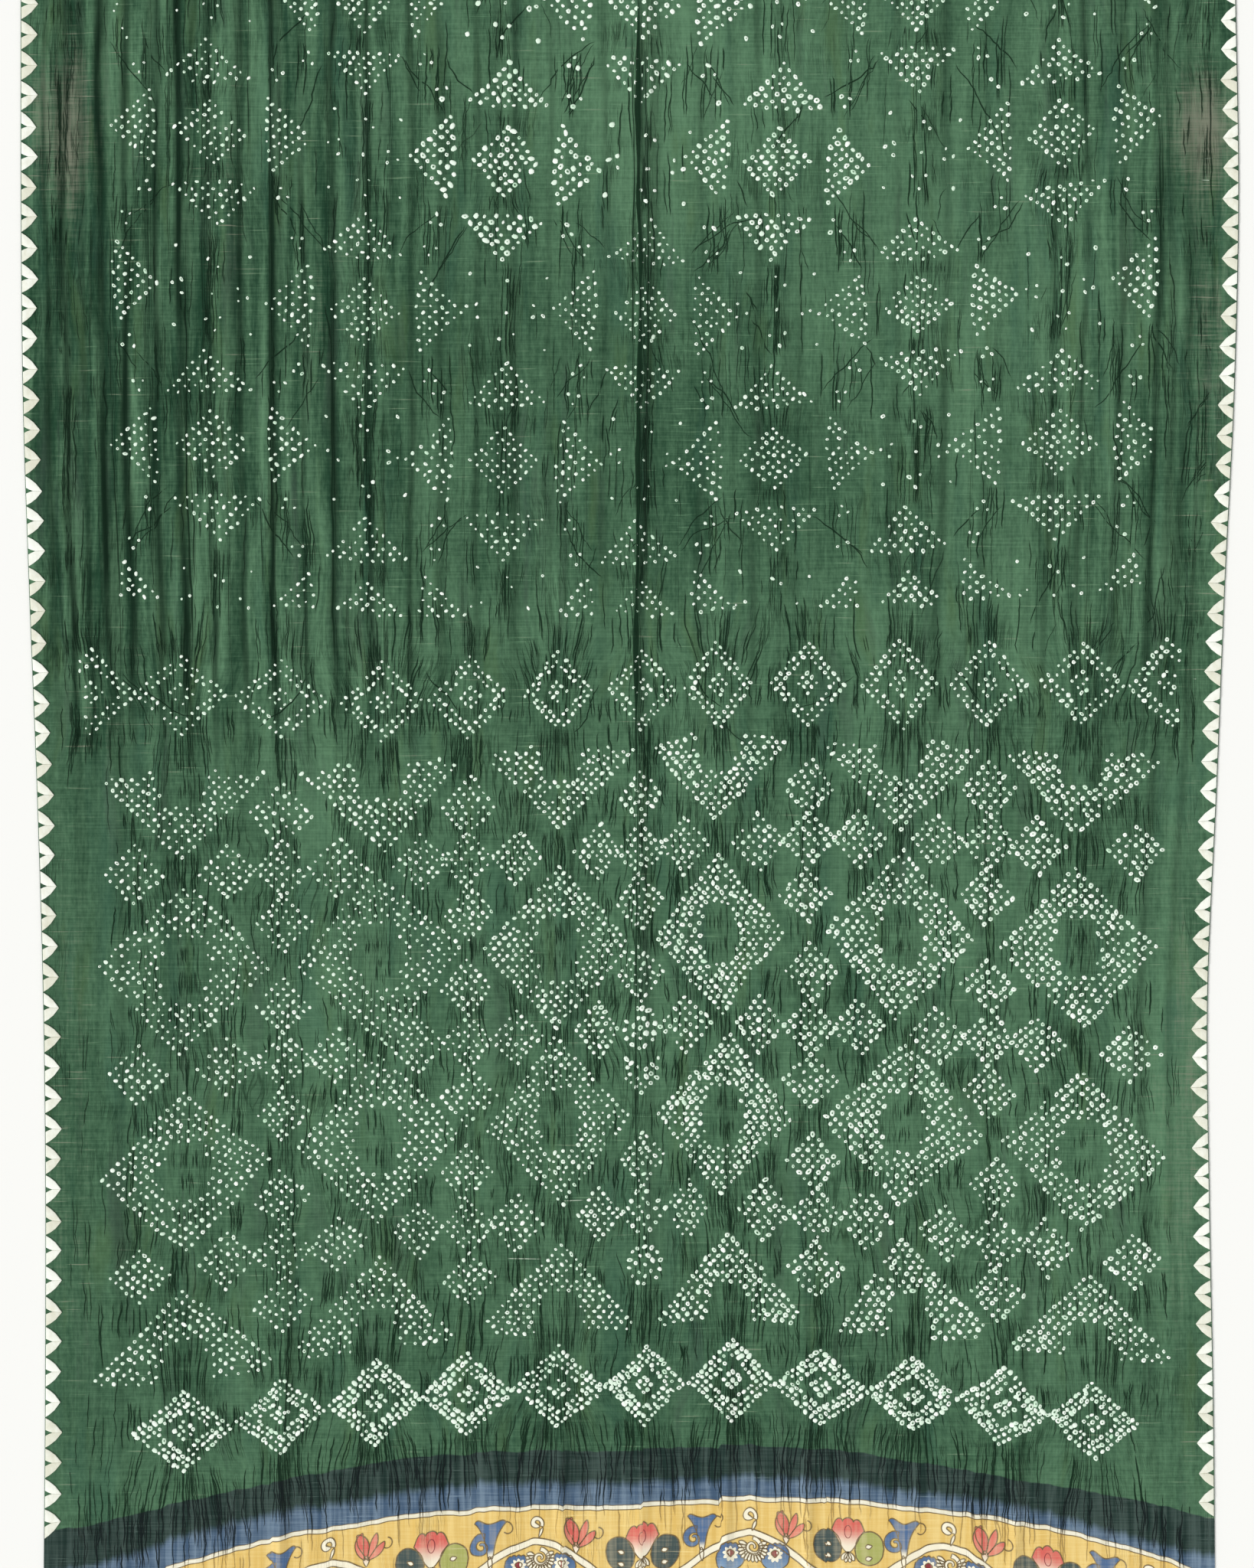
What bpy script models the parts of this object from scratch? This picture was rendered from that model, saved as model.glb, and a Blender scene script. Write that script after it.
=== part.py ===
# Length of tie-dyed cotton cloth laid flat, face up, with a pointed white edging on its two long edges.
# Metres. +X across the cloth, +Y along it towards the plain green end, +Z up.
# The origin is at the middle of the footprint, at the height of the surface that the cloth lies on.
import math
from collections import namedtuple

import bmesh
import bpy

# Driving dimensions of the cloth
LENGTH = 1.3566
SHEET = 0.0012
HEM_WIDTH = 0.008
HEM_RISE = 0.0008
HEM_STEP = 0.0006

# The sheet stays flat for this far in from its long edges, then rises into its folds over the next stretch
FLAT_MARGIN = 0.0160
FADE_WIDTH = 0.0110

# The folds wander sideways by this much, once over this length of cloth
WANDER = 0.0035
WANDER_LENGTH = 0.83
WANDER_TURNS = 6.3

# Driving dimensions of the edging
EDGING_THICKNESS = 0.0010
EDGING_GAP = 0.0003
HEADING_OUT = 0.0008
HEADING_IN = 0.0007
POINT_DEPTH = 0.0128
TIP_HALF_WIDTH = 0.0016
TIP_FALL = 0.0011
FLANK_BULGE = 0.0007
GAP_DEPTH = 0.0050
GAP_WIDTH = 0.0052

# How finely the sheet is divided between its folds
PLAIN_COLUMN_STEP = 0.045
ROWS_BETWEEN_HEMS = 15

# Long edges of the laid cloth: distance along it, then the two edges across it
Edge = namedtuple("Edge", "y left right")
EDGES = [
    Edge(-0.6783, -0.4748, 0.4738),
    Edge(-0.5121, -0.4735, 0.4726),
    Edge(-0.3261, -0.4732, 0.4692),
    Edge(-0.1711, -0.4751, 0.4679),
    Edge(0.0025, -0.4803, 0.4754),
    Edge(0.1637, -0.4866, 0.4819),
    Edge(0.3125, -0.4915, 0.4893),
    Edge(0.4799, -0.4931, 0.4931),
    Edge(0.6783, -0.4931, 0.4900),
]

# Folds along the cloth: place as a share of the width from the left edge, half width of the fold in metres,
# and its height in millimetres at the painted end, at the middle and at the plain end
Fold = namedtuple("Fold", "place half_width low middle high")
FOLDS = [
    Fold(0.030, 0.006, 0.4, 0.8, 2.0),
    Fold(0.062, 0.010, 0.9, 1.6, 2.6),
    Fold(0.101, 0.009, 0.0, 1.2, 2.2),
    Fold(0.133, 0.008, 0.6, 0.9, 2.4),
    Fold(0.168, 0.009, 0.0, 0.8, 1.9),
    Fold(0.204, 0.008, 2.2, 0.6, 1.8),
    Fold(0.262, 0.011, 0.5, 1.1, 1.4),
    Fold(0.318, 0.009, 1.1, 0.7, 0.6),
    Fold(0.386, 0.012, 0.6, 1.3, 1.5),
    Fold(0.446, 0.007, 2.3, 0.8, 0.9),
    Fold(0.512, 0.011, 1.6, 2.6, 4.6),
    Fold(0.581, 0.007, 2.0, 0.7, 1.0),
    Fold(0.622, 0.010, 0.8, 1.2, 1.6),
    Fold(0.650, 0.006, 2.1, 0.5, 0.4),
    Fold(0.741, 0.012, 0.7, 1.2, 1.4),
    Fold(0.801, 0.008, 0.9, 0.6, 0.8),
    Fold(0.833, 0.007, 2.2, 0.6, 0.7),
    Fold(0.897, 0.010, 0.6, 1.0, 1.5),
    Fold(0.941, 0.008, 0.7, 2.1, 1.8),
    Fold(0.966, 0.006, 0.5, 1.6, 0.8),
]
FOLD_SECTION = [(-1.0, 0.0), (-0.45, 0.62), (0.0, 1.0), (0.45, 0.62), (1.0, 0.0)]

# One row for each edging: its side, where it ends and starts along the cloth, and its number of points
Edging = namedtuple("Edging", "name side end start points")
EDGINGS = [
    Edging("edging_left", -1, -0.6113, 0.6690, 52),
    Edging("edging_right", 1, -0.5933, 0.6690, 52),
]
POINT_PITCH = {"edging_left": 0.0246, "edging_right": 0.0240}

# Colour and roughness of each material
FINISH = {
    "dyed_cotton": ((0.05, 0.13, 0.07), 0.88),
    "white_cotton": ((0.86, 0.87, 0.80), 0.80),
}


def clear_scene():
    for item in list(bpy.data.objects):
        bpy.data.objects.remove(item, do_unlink=True)


def cotton(name):
    colour, roughness = FINISH[name]
    material = bpy.data.materials.get(name) or bpy.data.materials.new(name)
    material.use_nodes = True
    shader = material.node_tree.nodes["Principled BSDF"]
    shader.inputs["Base Color"].default_value = (*colour, 1.0)
    shader.inputs["Roughness"].default_value = roughness
    shader.inputs["Metallic"].default_value = 0.0
    return material


def add_object(name, bm, material):
    mesh = bpy.data.meshes.new(name)
    bm.to_mesh(mesh)
    bm.free()
    mesh.materials.append(material)
    item = bpy.data.objects.new(name, mesh)
    bpy.context.scene.collection.objects.link(item)
    return item


def blend(start, end, share):
    return start + (end - start) * share


def smooth_step(share):
    share = min(1.0, max(0.0, share))
    return share * share * (3.0 - 2.0 * share)


def edges_at(y):
    """Left and right edge of the cloth at y, on a smooth curve through the rows of EDGES."""
    last = len(EDGES) - 2
    row = 0
    while row < last and y > EDGES[row + 1].y:
        row += 1
    before = EDGES[max(row - 1, 0)]
    start = EDGES[row]
    end = EDGES[row + 1]
    after = EDGES[min(row + 2, last + 1)]
    span = end.y - start.y
    share = min(1.0, max(0.0, (y - start.y) / span))
    found = []
    for side in ("left", "right"):
        values = [getattr(knot, side) for knot in (before, start, end, after)]
        slope_in = 0.5 * (values[2] - values[0])
        slope_out = 0.5 * (values[3] - values[1])
        square = share * share
        cube = square * share
        found.append(
            (2.0 * cube - 3.0 * square + 1.0) * values[1]
            + (cube - 2.0 * square + share) * slope_in
            + (3.0 * square - 2.0 * cube) * values[2]
            + (cube - square) * slope_out
        )
    return found


def fold_height(fold, y):
    """Height of one fold's crest at y, in metres."""
    reach = 2.0 * y / LENGTH
    if reach < 0.0:
        height = blend(fold.middle, fold.low, smooth_step(-reach))
    else:
        height = blend(fold.middle, fold.high, smooth_step(reach))
    return 0.001 * height


def column_list():
    """Columns across the sheet: (fold or None, offset as a share of its half width, place)."""
    columns = [(None, 0.0, 0.0)]
    width = edges_at(0.0)[1] - edges_at(0.0)[0]
    reached = 0.0
    for fold in FOLDS:
        start = fold.place - fold.half_width / width
        plain = (start - reached) * width
        steps = int(plain / PLAIN_COLUMN_STEP)
        for step in range(1, steps + 1):
            columns.append((None, 0.0, reached + (start - reached) * step / (steps + 1)))
        for offset, share in FOLD_SECTION:
            columns.append((fold, offset, share))
        reached = fold.place + fold.half_width / width
    columns.append((None, 0.0, 1.0))
    return columns


def row_list():
    """Rows along the sheet, with a close pair at each hem's inner edge."""
    half = LENGTH / 2.0
    inner = half - HEM_WIDTH
    rows = [-half, -inner - HEM_STEP]
    for step in range(ROWS_BETWEEN_HEMS + 1):
        rows.append(-inner + 2.0 * inner * step / ROWS_BETWEEN_HEMS)
    rows += [inner + HEM_STEP, half]
    return rows


def sheet_point(column, y):
    """Place of a point on the cloth's underside."""
    fold, offset, share = column
    left, right = edges_at(y)
    if fold is None:
        return blend(left, right, share), 0.0
    turn = 2.0 * math.pi * y / WANDER_LENGTH + WANDER_TURNS * math.pi * fold.place
    x = blend(left, right, fold.place) + WANDER * math.sin(turn) + offset * fold.half_width
    inset = min(x - left, right - x)
    clear = smooth_step((inset - FLAT_MARGIN) / FADE_WIDTH)
    return x, share * fold_height(fold, y) * clear


def build_cloth():
    columns = column_list()
    rows = row_list()
    bm = bmesh.new()
    bmesh.ops.create_grid(bm, x_segments=len(columns) - 1, y_segments=len(rows) - 1, size=0.5)
    across = len(columns) - 1
    along = len(rows) - 1
    hem_start = LENGTH / 2.0 - HEM_WIDTH
    rise = {}
    for vert in bm.verts:
        column = columns[round((vert.co.x + 0.5) * across)]
        y = rows[round((vert.co.y + 0.5) * along)]
        x, z = sheet_point(column, y)
        left, right = edges_at(y)
        beside_edging = min(x - left, right - x) < FLAT_MARGIN
        in_hem = abs(y) > hem_start and not beside_edging
        rise[vert.index] = SHEET + (HEM_RISE if in_hem else 0.0)
        vert.co = (x, y, z)
    bm.verts.index_update()
    lower = list(bm.verts)
    heights = [rise[vert.index] for vert in lower]
    raised = bmesh.ops.extrude_face_region(bm, geom=list(bm.faces))["geom"]
    upper = [item for item in raised if isinstance(item, bmesh.types.BMVert)]
    by_place = {}
    for vert, height in zip(lower, heights):
        by_place[(round(vert.co.x, 6), round(vert.co.y, 6))] = height
    for vert in upper:
        vert.co.z += by_place[(round(vert.co.x, 6), round(vert.co.y, 6))]
    bmesh.ops.recalc_face_normals(bm, faces=bm.faces)
    return add_object("cloth", bm, cotton("dyed_cotton"))


def edging_point(side, inset, y):
    """Point of an edging's outline, inset metres in from the cloth's edge at y."""
    edge = edges_at(y)[0 if side < 0 else 1]
    return edge - side * inset, y


def point_profile(foot, pitch):
    """One folded point of the edging, from foot: (inset, y) along its inner line."""
    middle = foot + 0.5 * pitch
    tip = POINT_DEPTH
    flank = blend(HEADING_IN, tip, 0.5) + FLANK_BULGE
    return [
        (HEADING_IN, foot),
        (flank, foot + 0.24 * pitch),
        (tip - TIP_FALL, middle - TIP_HALF_WIDTH),
        (tip, middle),
        (tip - TIP_FALL, middle + TIP_HALF_WIDTH),
        (flank, foot + 0.76 * pitch),
    ]


def closed_loop(bm, points):
    verts = [bm.verts.new((x, y, 0.0)) for x, y in points]
    return [bm.edges.new((verts[place - 1], verts[place])) for place in range(len(verts))]


def build_edging(row):
    pitch = POINT_PITCH[row.name]
    bottom = SHEET + EDGING_GAP
    inner = []
    gaps = []
    for number in range(row.points):
        foot = row.end + number * pitch
        inner += point_profile(foot, pitch)
        middle = foot + 0.5 * pitch
        gaps.append([
            (HEADING_IN, middle - 0.5 * GAP_WIDTH),
            (HEADING_IN + GAP_DEPTH, middle + 0.1 * GAP_WIDTH),
            (HEADING_IN, middle + 0.5 * GAP_WIDTH),
        ])
    last_foot = row.end + row.points * pitch
    inner.append((HEADING_IN, last_foot))
    if row.start > last_foot + HEM_WIDTH * 0.5:
        inner.append((HEADING_IN, row.start))
    top = inner[-1][1]
    outer = []
    for number in range(row.points, -1, -1):
        outer.append((-HEADING_OUT, row.end + number * pitch))
    if top > last_foot:
        outer.insert(0, (-HEADING_OUT, top))
    bm = bmesh.new()
    edges = closed_loop(bm, [edging_point(row.side, inset, y) for inset, y in inner + outer])
    for gap in gaps:
        edges += closed_loop(bm, [edging_point(row.side, inset, y) for inset, y in gap])
    bmesh.ops.triangle_fill(bm, use_beauty=True, edges=edges)
    raised = bmesh.ops.extrude_face_region(bm, geom=list(bm.faces))["geom"]
    upper = [item for item in raised if isinstance(item, bmesh.types.BMVert)]
    bmesh.ops.translate(bm, verts=upper, vec=(0.0, 0.0, EDGING_THICKNESS))
    bmesh.ops.translate(bm, verts=list(bm.verts), vec=(0.0, 0.0, bottom))
    bmesh.ops.recalc_face_normals(bm, faces=bm.faces)
    return add_object(row.name, bm, cotton("white_cotton"))


def main():
    clear_scene()
    build_cloth()
    for row in EDGINGS:
        build_edging(row)


main()
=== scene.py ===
import math

import bmesh
import bpy
import numpy as np
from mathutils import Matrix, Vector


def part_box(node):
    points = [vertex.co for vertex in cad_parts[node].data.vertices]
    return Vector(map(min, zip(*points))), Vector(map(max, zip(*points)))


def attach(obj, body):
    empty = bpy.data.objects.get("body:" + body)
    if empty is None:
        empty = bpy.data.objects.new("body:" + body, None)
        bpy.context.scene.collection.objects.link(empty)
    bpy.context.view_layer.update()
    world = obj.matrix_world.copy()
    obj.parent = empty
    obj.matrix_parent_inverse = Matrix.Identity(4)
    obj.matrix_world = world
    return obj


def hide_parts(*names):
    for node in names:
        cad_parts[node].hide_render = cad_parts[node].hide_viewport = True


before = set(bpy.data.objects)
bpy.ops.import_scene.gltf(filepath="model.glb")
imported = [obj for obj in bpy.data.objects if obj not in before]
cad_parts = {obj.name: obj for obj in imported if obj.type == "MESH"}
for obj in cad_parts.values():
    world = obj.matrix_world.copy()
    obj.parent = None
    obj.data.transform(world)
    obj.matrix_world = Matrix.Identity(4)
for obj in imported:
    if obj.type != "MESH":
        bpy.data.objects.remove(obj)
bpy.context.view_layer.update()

scene = bpy.context.scene
millimetre = 0.001


# Studio
studio = {
    "frameHeight": 1.2698,  # what the picture takes in from top to bottom, metres
    "lens": 85.0,
    "aim": (-0.0023, 0.0),
    "floorSize": 40.0,
    "floorColour": (0.905, 0.905, 0.875),
    "skyStrength": 0.62,
    "keyStrength": 2.05,
    "keyTilt": 47.0,  # degrees down from straight overhead
    "keyTurn": -62.0,  # degrees round from behind the painted end
    "keySoftness": 24.0,
}


def buildStudio(values):
    cameraData = bpy.data.cameras.new("camera")
    cameraData.lens = values["lens"]
    cameraData.sensor_width = 36.0
    cameraData.clip_end = 60.0
    camera = bpy.data.objects.new("camera", cameraData)
    height = values["frameHeight"] * values["lens"] / cameraData.sensor_width
    camera.location = (values["aim"][0], values["aim"][1], height)
    scene.collection.objects.link(camera)
    scene.camera = camera

    bm = bmesh.new()
    bmesh.ops.create_grid(bm, x_segments=1, y_segments=1, size=values["floorSize"] / 2.0)
    bmesh.ops.translate(bm, verts=bm.verts, vec=(0.0, 0.0, -0.0003))
    mesh = bpy.data.meshes.new("floor")
    bm.to_mesh(mesh)
    bm.free()
    floor = bpy.data.objects.new("floor", mesh)
    scene.collection.objects.link(floor)
    paint = bpy.data.materials.new("floorPaint")
    paint.use_nodes = True
    shader = paint.node_tree.nodes["Principled BSDF"]
    shader.inputs["Base Color"].default_value = (*values["floorColour"], 1.0)
    shader.inputs["Roughness"].default_value = 0.9
    shader.inputs["Specular IOR Level"].default_value = 0.1
    mesh.materials.append(paint)

    keyData = bpy.data.lights.new("keyLight", "SUN")
    keyData.energy = values["keyStrength"]
    keyData.angle = math.radians(values["keySoftness"])
    key = bpy.data.objects.new("keyLight", keyData)
    key.rotation_euler = (math.radians(values["keyTilt"]), 0.0, math.radians(values["keyTurn"]))
    scene.collection.objects.link(key)

    world = bpy.data.worlds.new("softRoom")
    world.use_nodes = True
    world.node_tree.nodes["Background"].inputs["Color"].default_value = (1.0, 1.0, 1.0, 1.0)
    world.node_tree.nodes["Background"].inputs["Strength"].default_value = values["skyStrength"]
    scene.world = world
    scene.view_settings.view_transform = "Standard"
    scene.view_settings.look = "None"


# The laid sheet, as the frame's cloth lies: long edges, folds and hems
sheet = {
    "thickness": 0.0009,
    "columns": 420,
    "rows": 114,
    "hemWidth": 0.008,
    "hemRise": 0.0006,
    "flatMargin": 0.0160,
    "fadeWidth": 0.0110,
    "wander": 0.0035,
    "wanderLength": 0.83,
    "wanderTurns": 6.3,
    "crinkleHeight": 0.00042,
    "puckerHeight": 0.00055,
    "sharpFrom": 4.0,  # mm, folds higher than this have a sharper crest
}
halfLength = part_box("cloth")[1][1]

# along, left edge, right edge
edgeRows = np.array([
    (-0.6783, -0.4748, 0.4738),
    (-0.5121, -0.4735, 0.4726),
    (-0.3261, -0.4732, 0.4692),
    (-0.1711, -0.4751, 0.4679),
    (0.0025, -0.4803, 0.4754),
    (0.1637, -0.4866, 0.4819),
    (0.3125, -0.4915, 0.4893),
    (0.4799, -0.4931, 0.4931),
    (0.6783, -0.4931, 0.4900),
])

# place across, half width in m, heights in mm at the painted end, the middle and the plain end, darkness
foldRows = [
    (0.030, 0.006, 0.4, 0.8, 2.0, 0.9),
    (0.062, 0.010, 0.9, 1.6, 2.6, 1.0),
    (0.101, 0.009, 0.0, 1.2, 2.2, 1.0),
    (0.133, 0.008, 0.6, 0.9, 2.4, 0.8),
    (0.168, 0.009, 0.0, 0.8, 1.9, 0.9),
    (0.204, 0.008, 2.2, 0.6, 1.8, 0.9),
    (0.262, 0.011, 0.5, 1.1, 1.4, 0.6),
    (0.318, 0.009, 1.1, 0.7, 0.6, 0.5),
    (0.386, 0.012, 0.6, 1.3, 1.5, 0.4),
    (0.446, 0.007, 2.3, 0.8, 0.9, 0.6),
    (0.512, 0.011, 1.6, 2.6, 4.6, 0.45),
    (0.581, 0.007, 2.0, 0.7, 1.0, 0.5),
    (0.622, 0.010, 0.8, 1.2, 1.6, 0.4),
    (0.650, 0.006, 2.1, 0.5, 0.4, 0.6),
    (0.741, 0.012, 0.7, 1.2, 1.4, 0.4),
    (0.801, 0.008, 0.9, 0.6, 0.8, 0.5),
    (0.833, 0.007, 2.2, 0.6, 0.7, 0.7),
    (0.897, 0.010, 0.6, 1.0, 1.5, 0.5),
    (0.941, 0.008, 0.7, 2.1, 1.8, 0.9),
    (0.966, 0.006, 0.5, 1.6, 0.8, 0.8),
]


def smoothStep(share):
    share = np.clip(share, 0.0, 1.0)
    return share * share * (3.0 - 2.0 * share)


def softNoise(across, along, cellAcross, cellAlong, seed):
    # seeded value noise from -1 to 1
    table = np.random.default_rng(seed).uniform(-1.0, 1.0, (61, 61))
    gridX = np.asarray(across, dtype=float) / cellAcross + 30.0
    gridY = np.asarray(along, dtype=float) / cellAlong + 30.0
    cellX = np.floor(gridX).astype(int)
    cellY = np.floor(gridY).astype(int)
    shareX = smoothStep(gridX - cellX)
    shareY = smoothStep(gridY - cellY)
    low = table[cellX % 61, cellY % 61] * (1.0 - shareX) + table[(cellX + 1) % 61, cellY % 61] * shareX
    high = table[cellX % 61, (cellY + 1) % 61] * (1.0 - shareX)
    high = high + table[(cellX + 1) % 61, (cellY + 1) % 61] * shareX
    return low * (1.0 - shareY) + high * shareY


def edgesAt(along):
    along = np.asarray(along, dtype=float)
    last = len(edgeRows) - 2
    knot = np.clip(np.searchsorted(edgeRows[:, 0], along) - 1, 0, last)
    span = edgeRows[knot + 1, 0] - edgeRows[knot, 0]
    share = np.clip((along - edgeRows[knot, 0]) / span, 0.0, 1.0)
    found = []
    for column in (1, 2):
        before = edgeRows[np.maximum(knot - 1, 0), column]
        start = edgeRows[knot, column]
        end = edgeRows[knot + 1, column]
        after = edgeRows[np.minimum(knot + 2, last + 1), column]
        square = share * share
        cube = square * share
        found.append(
            (2.0 * cube - 3.0 * square + 1.0) * start
            + (cube - 2.0 * square + share) * 0.5 * (end - before)
            + (3.0 * square - 2.0 * cube) * end
            + (cube - square) * 0.5 * (after - start)
        )
    return found


def acrossAt(place, along):
    # place from 0 at the left edge to 1 at the right
    left, right = edgesAt(along)
    return left + (right - left) * place


def placeOf(across, along):
    left, right = edgesAt(along)
    return (across - left) / (right - left)


def foldPart(row, across, along):
    # height of one fold, and its offset from the crest as a share of its half width
    place, halfWidth, low, middle, high, _ = row
    reach = along / halfLength
    height = np.where(
        reach < 0.0,
        middle + (low - middle) * smoothStep(-reach),
        middle + (high - middle) * smoothStep(reach),
    )
    turn = 2.0 * math.pi * along / sheet["wanderLength"] + sheet["wanderTurns"] * math.pi * place
    centre = acrossAt(place, along) + sheet["wander"] * np.sin(turn)
    offset = (across - centre) / halfWidth
    section = np.clip(1.0 - offset * offset, 0.0, 1.0) ** (4.0 if high > sheet["sharpFrom"] else 2.0)
    return height * millimetre * section, offset, height


def sheetTop(across, along):
    # height of the cloth's face
    across = np.asarray(across, dtype=float)
    along = np.asarray(along, dtype=float)
    left, right = edgesAt(along)
    inset = np.minimum(across - left, right - across)
    clear = smoothStep((inset - sheet["flatMargin"]) / sheet["fadeWidth"])
    rise = np.zeros_like(across + along)
    for row in foldRows:
        rise = rise + foldPart(row, across, along)[0]
    pull, pucker = grainAt(across, along)
    ridge = 1.0 - np.abs(softNoise(pull, along, 0.0105, 0.11, 11)) * 1.6
    fine = 0.5 + 0.5 * softNoise(pull, along, 0.0085, 0.05, 12)
    rise = rise + sheet["crinkleHeight"] * np.clip(ridge, 0.0, 1.0)
    rise = rise + sheet["puckerHeight"] * fine * np.clip(pucker, 0.0, 1.2)
    hem = smoothStep((np.abs(along) - (halfLength - sheet["hemWidth"])) / 0.001)
    return sheet["thickness"] + (rise + hem * sheet["hemRise"]) * clear


# Where the motifs sit. Columns are places across the cloth from 0 to 1, rows are heights along it in mm,
# given at the knots and bowed between them as the cloth was tied.
upperKnots = (0.08, 0.28, 0.513, 0.738, 0.935)
upperColumns = (0.032, 0.156, 0.282, 0.398, 0.513, 0.621, 0.738, 0.856, 0.975)
upperRows = [
    (656.6, 634.9, 631.8, 636.7, 659.7),
    (540.6, 509.0, 499.1, 509.0, 538.8),
    (408.6, 381.9, 379.4, 386.9, 406.7),
    (282.1, 262.9, 261.0, 267.8, 281.5),
    (148.2, 137.0, 135.8, 143.8, 157.5),
]
lowerKnots = (0.08, 0.29, 0.445, 0.586, 0.74, 0.93)
lowerRows = {
    "borderHigh": (73.8, 66.3, 73.8, 80.0, 80.6, 82.5),
    "wreath0": (3.7, 13.0, 24.2, 36.0, 31.6, 19.2),
    "plus1": (-73.8, -66.3, -56.4, -47.1, -44.0, -54.6),
    "wreath1": (-151.9, -140.1, -132.7, -120.3, -121.5, -135.8),
    "plus2": (-236.2, -215.8, -200.9, -192.8, -199.0, -219.5),
    "wreath2": (-319.9, -287.1, -271.6, -267.2, -275.3, -302.6),
    "plus3": (-398.7, -364.6, -350.9, -340.4, -357.1, -388.1),
    "wreath3": (-481.1, -448.3, -434.6, -425.3, -439.6, -463.8),
    "borderLow": (-528.9, -499.1, -487.9, -482.4, -493.5, -519.6),
}
highColumns = (0.124, 0.209, 0.293, 0.367, 0.443, 0.5126, 0.576, 0.6525, 0.730, 0.804, 0.883)
lowColumns = (0.1186, 0.2018, 0.2824, 0.361, 0.4397, 0.5138, 0.5885, 0.664, 0.743, 0.82, 0.897)
highEdges = (0.050, 0.957)
fieldEdges = (0.081, 0.934)

motifs = {
    "latticeStep": 6.15,  # mm between neighbouring dots of a motif
    "triangleBase": 46.5,  # mm from the centre of a four-pointed motif to its triangles' bases
    "triangleRows": 8,
    "baseBow": 4.5,
    "wreathHole": 22.0,
    "plusAcross": 43.5,
    "plusAlong": 43.5,
    "columnStep": 0.0790,  # usual distance between the lower columns, metres
    "jitter": 0.70,
    "drift": 1.9,
    "turn": 2.6,  # degrees, how far a whole motif is turned
    "unevenness": 0.045,  # how far a whole motif is drawn in or stretched
    "missing": 0.03,
    "upperMargin": 0.068,  # metres without dots inside each long edge
    "lowerMargin": 0.040,
    "rightMarginLess": 0.006,
}
# How far a tied motif draws in the cloth above and below it
pulling = {
    "wander": 0.0022,
    "reachAcross": 0.10,
    "reachAlong": 0.16,
    "fall": 0.026,
    "strength": 0.42,
    "underDots": 0.35,  # how much the cloth puckers within the motif
}


def bow(knots, heights, place):
    return np.interp(place, knots, heights)


def lattice(count, step):
    # square lattice of tied dots, turned on its corner
    spread = np.arange(count) - 0.5 * (count - 1)
    first, second = np.meshgrid(spread, spread)
    first = first.ravel()
    second = second.ravel()
    ring = np.maximum(np.abs(first), np.abs(second))
    scale = step / math.sqrt(2.0)
    return (first - second) * scale, (first + second) * scale, ring


def diamondDots(count, step):
    across, along, _ = lattice(count, step)
    return np.stack([across, along], axis=1)


def framedDots(count, step, gapRing):
    # diamond with one ring of dots left out round its heart
    across, along, ring = lattice(count, step)
    keep = np.abs(ring - gapRing) > 0.25
    return np.stack([across, along], axis=1)[keep]


def wreathDots(count, step, hole):
    across, along, _ = lattice(count, step)
    keep = np.hypot(across * 1.16, along * 0.88) > hole
    return np.stack([across, along], axis=1)[keep]


def triangleDots(rows, step, base):
    # points up, its base line a given height above the centre
    dots = []
    for row in range(rows):
        count = rows - row
        for number in range(count):
            side = number - 0.5 * (count - 1)
            dip = motifs["baseBow"] * (1.0 - (2.0 * side / rows) ** 2) * count / rows
            dots.append((side * step * 1.42, base + row * step * 0.72 - dip))
    return np.array(dots)


def fourPointedDots():
    # diamond with a triangle pointing out on each side, and three dots at each outer corner
    step = motifs["latticeStep"]
    triangle = triangleDots(motifs["triangleRows"], step, motifs["triangleBase"])
    parts = [diamondDots(7, step)]
    for turn in range(4):
        cosine, sine = (1, 0, -1, 0)[turn], (0, 1, 0, -1)[turn]
        parts.append(np.stack([
            triangle[:, 0] * cosine - triangle[:, 1] * sine,
            triangle[:, 0] * sine + triangle[:, 1] * cosine,
        ], axis=1))
    for side in (-1, 1):
        for end in (-1, 1):
            corner = [(side * 52.0, end * 45.0), (side * 57.0, end * 52.0), (side * 49.0, end * 53.0)]
            parts.append(np.array(corner))
    return np.concatenate(parts)


def rosetteDots():
    # two broken rings round one dot
    dots = [(0.0, 0.0)]
    for count, radius in ((7, 8.0), (14, 15.5)):
        for number in range(count):
            turn = 2.0 * math.pi * (number + 0.3) / count
            dots.append((radius * math.cos(turn), radius * math.sin(turn)))
    return np.array(dots)


def chevronDots():
    # three nested chevrons, points down
    dots = []
    for depth in (-10.0, -2.0, 6.0):
        for step in range(-3, 4):
            dots.append((step * 4.6, depth + abs(step) * 4.2))
    return np.array(dots)


# The sparse motif between the four-pointed ones: (across, along) in mm
sparseMotif = np.array([
    (0, 27), (6, 22), (1, 0), (-21, 8), (-21, -2), (-29, 5), (20, 6), (27, -1), (20, -4),
    (-4, -20), (6, -19), (2, -29), (-27, 33), (30, 30), (-27, -28), (30, -29),
], dtype=float)


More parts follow.
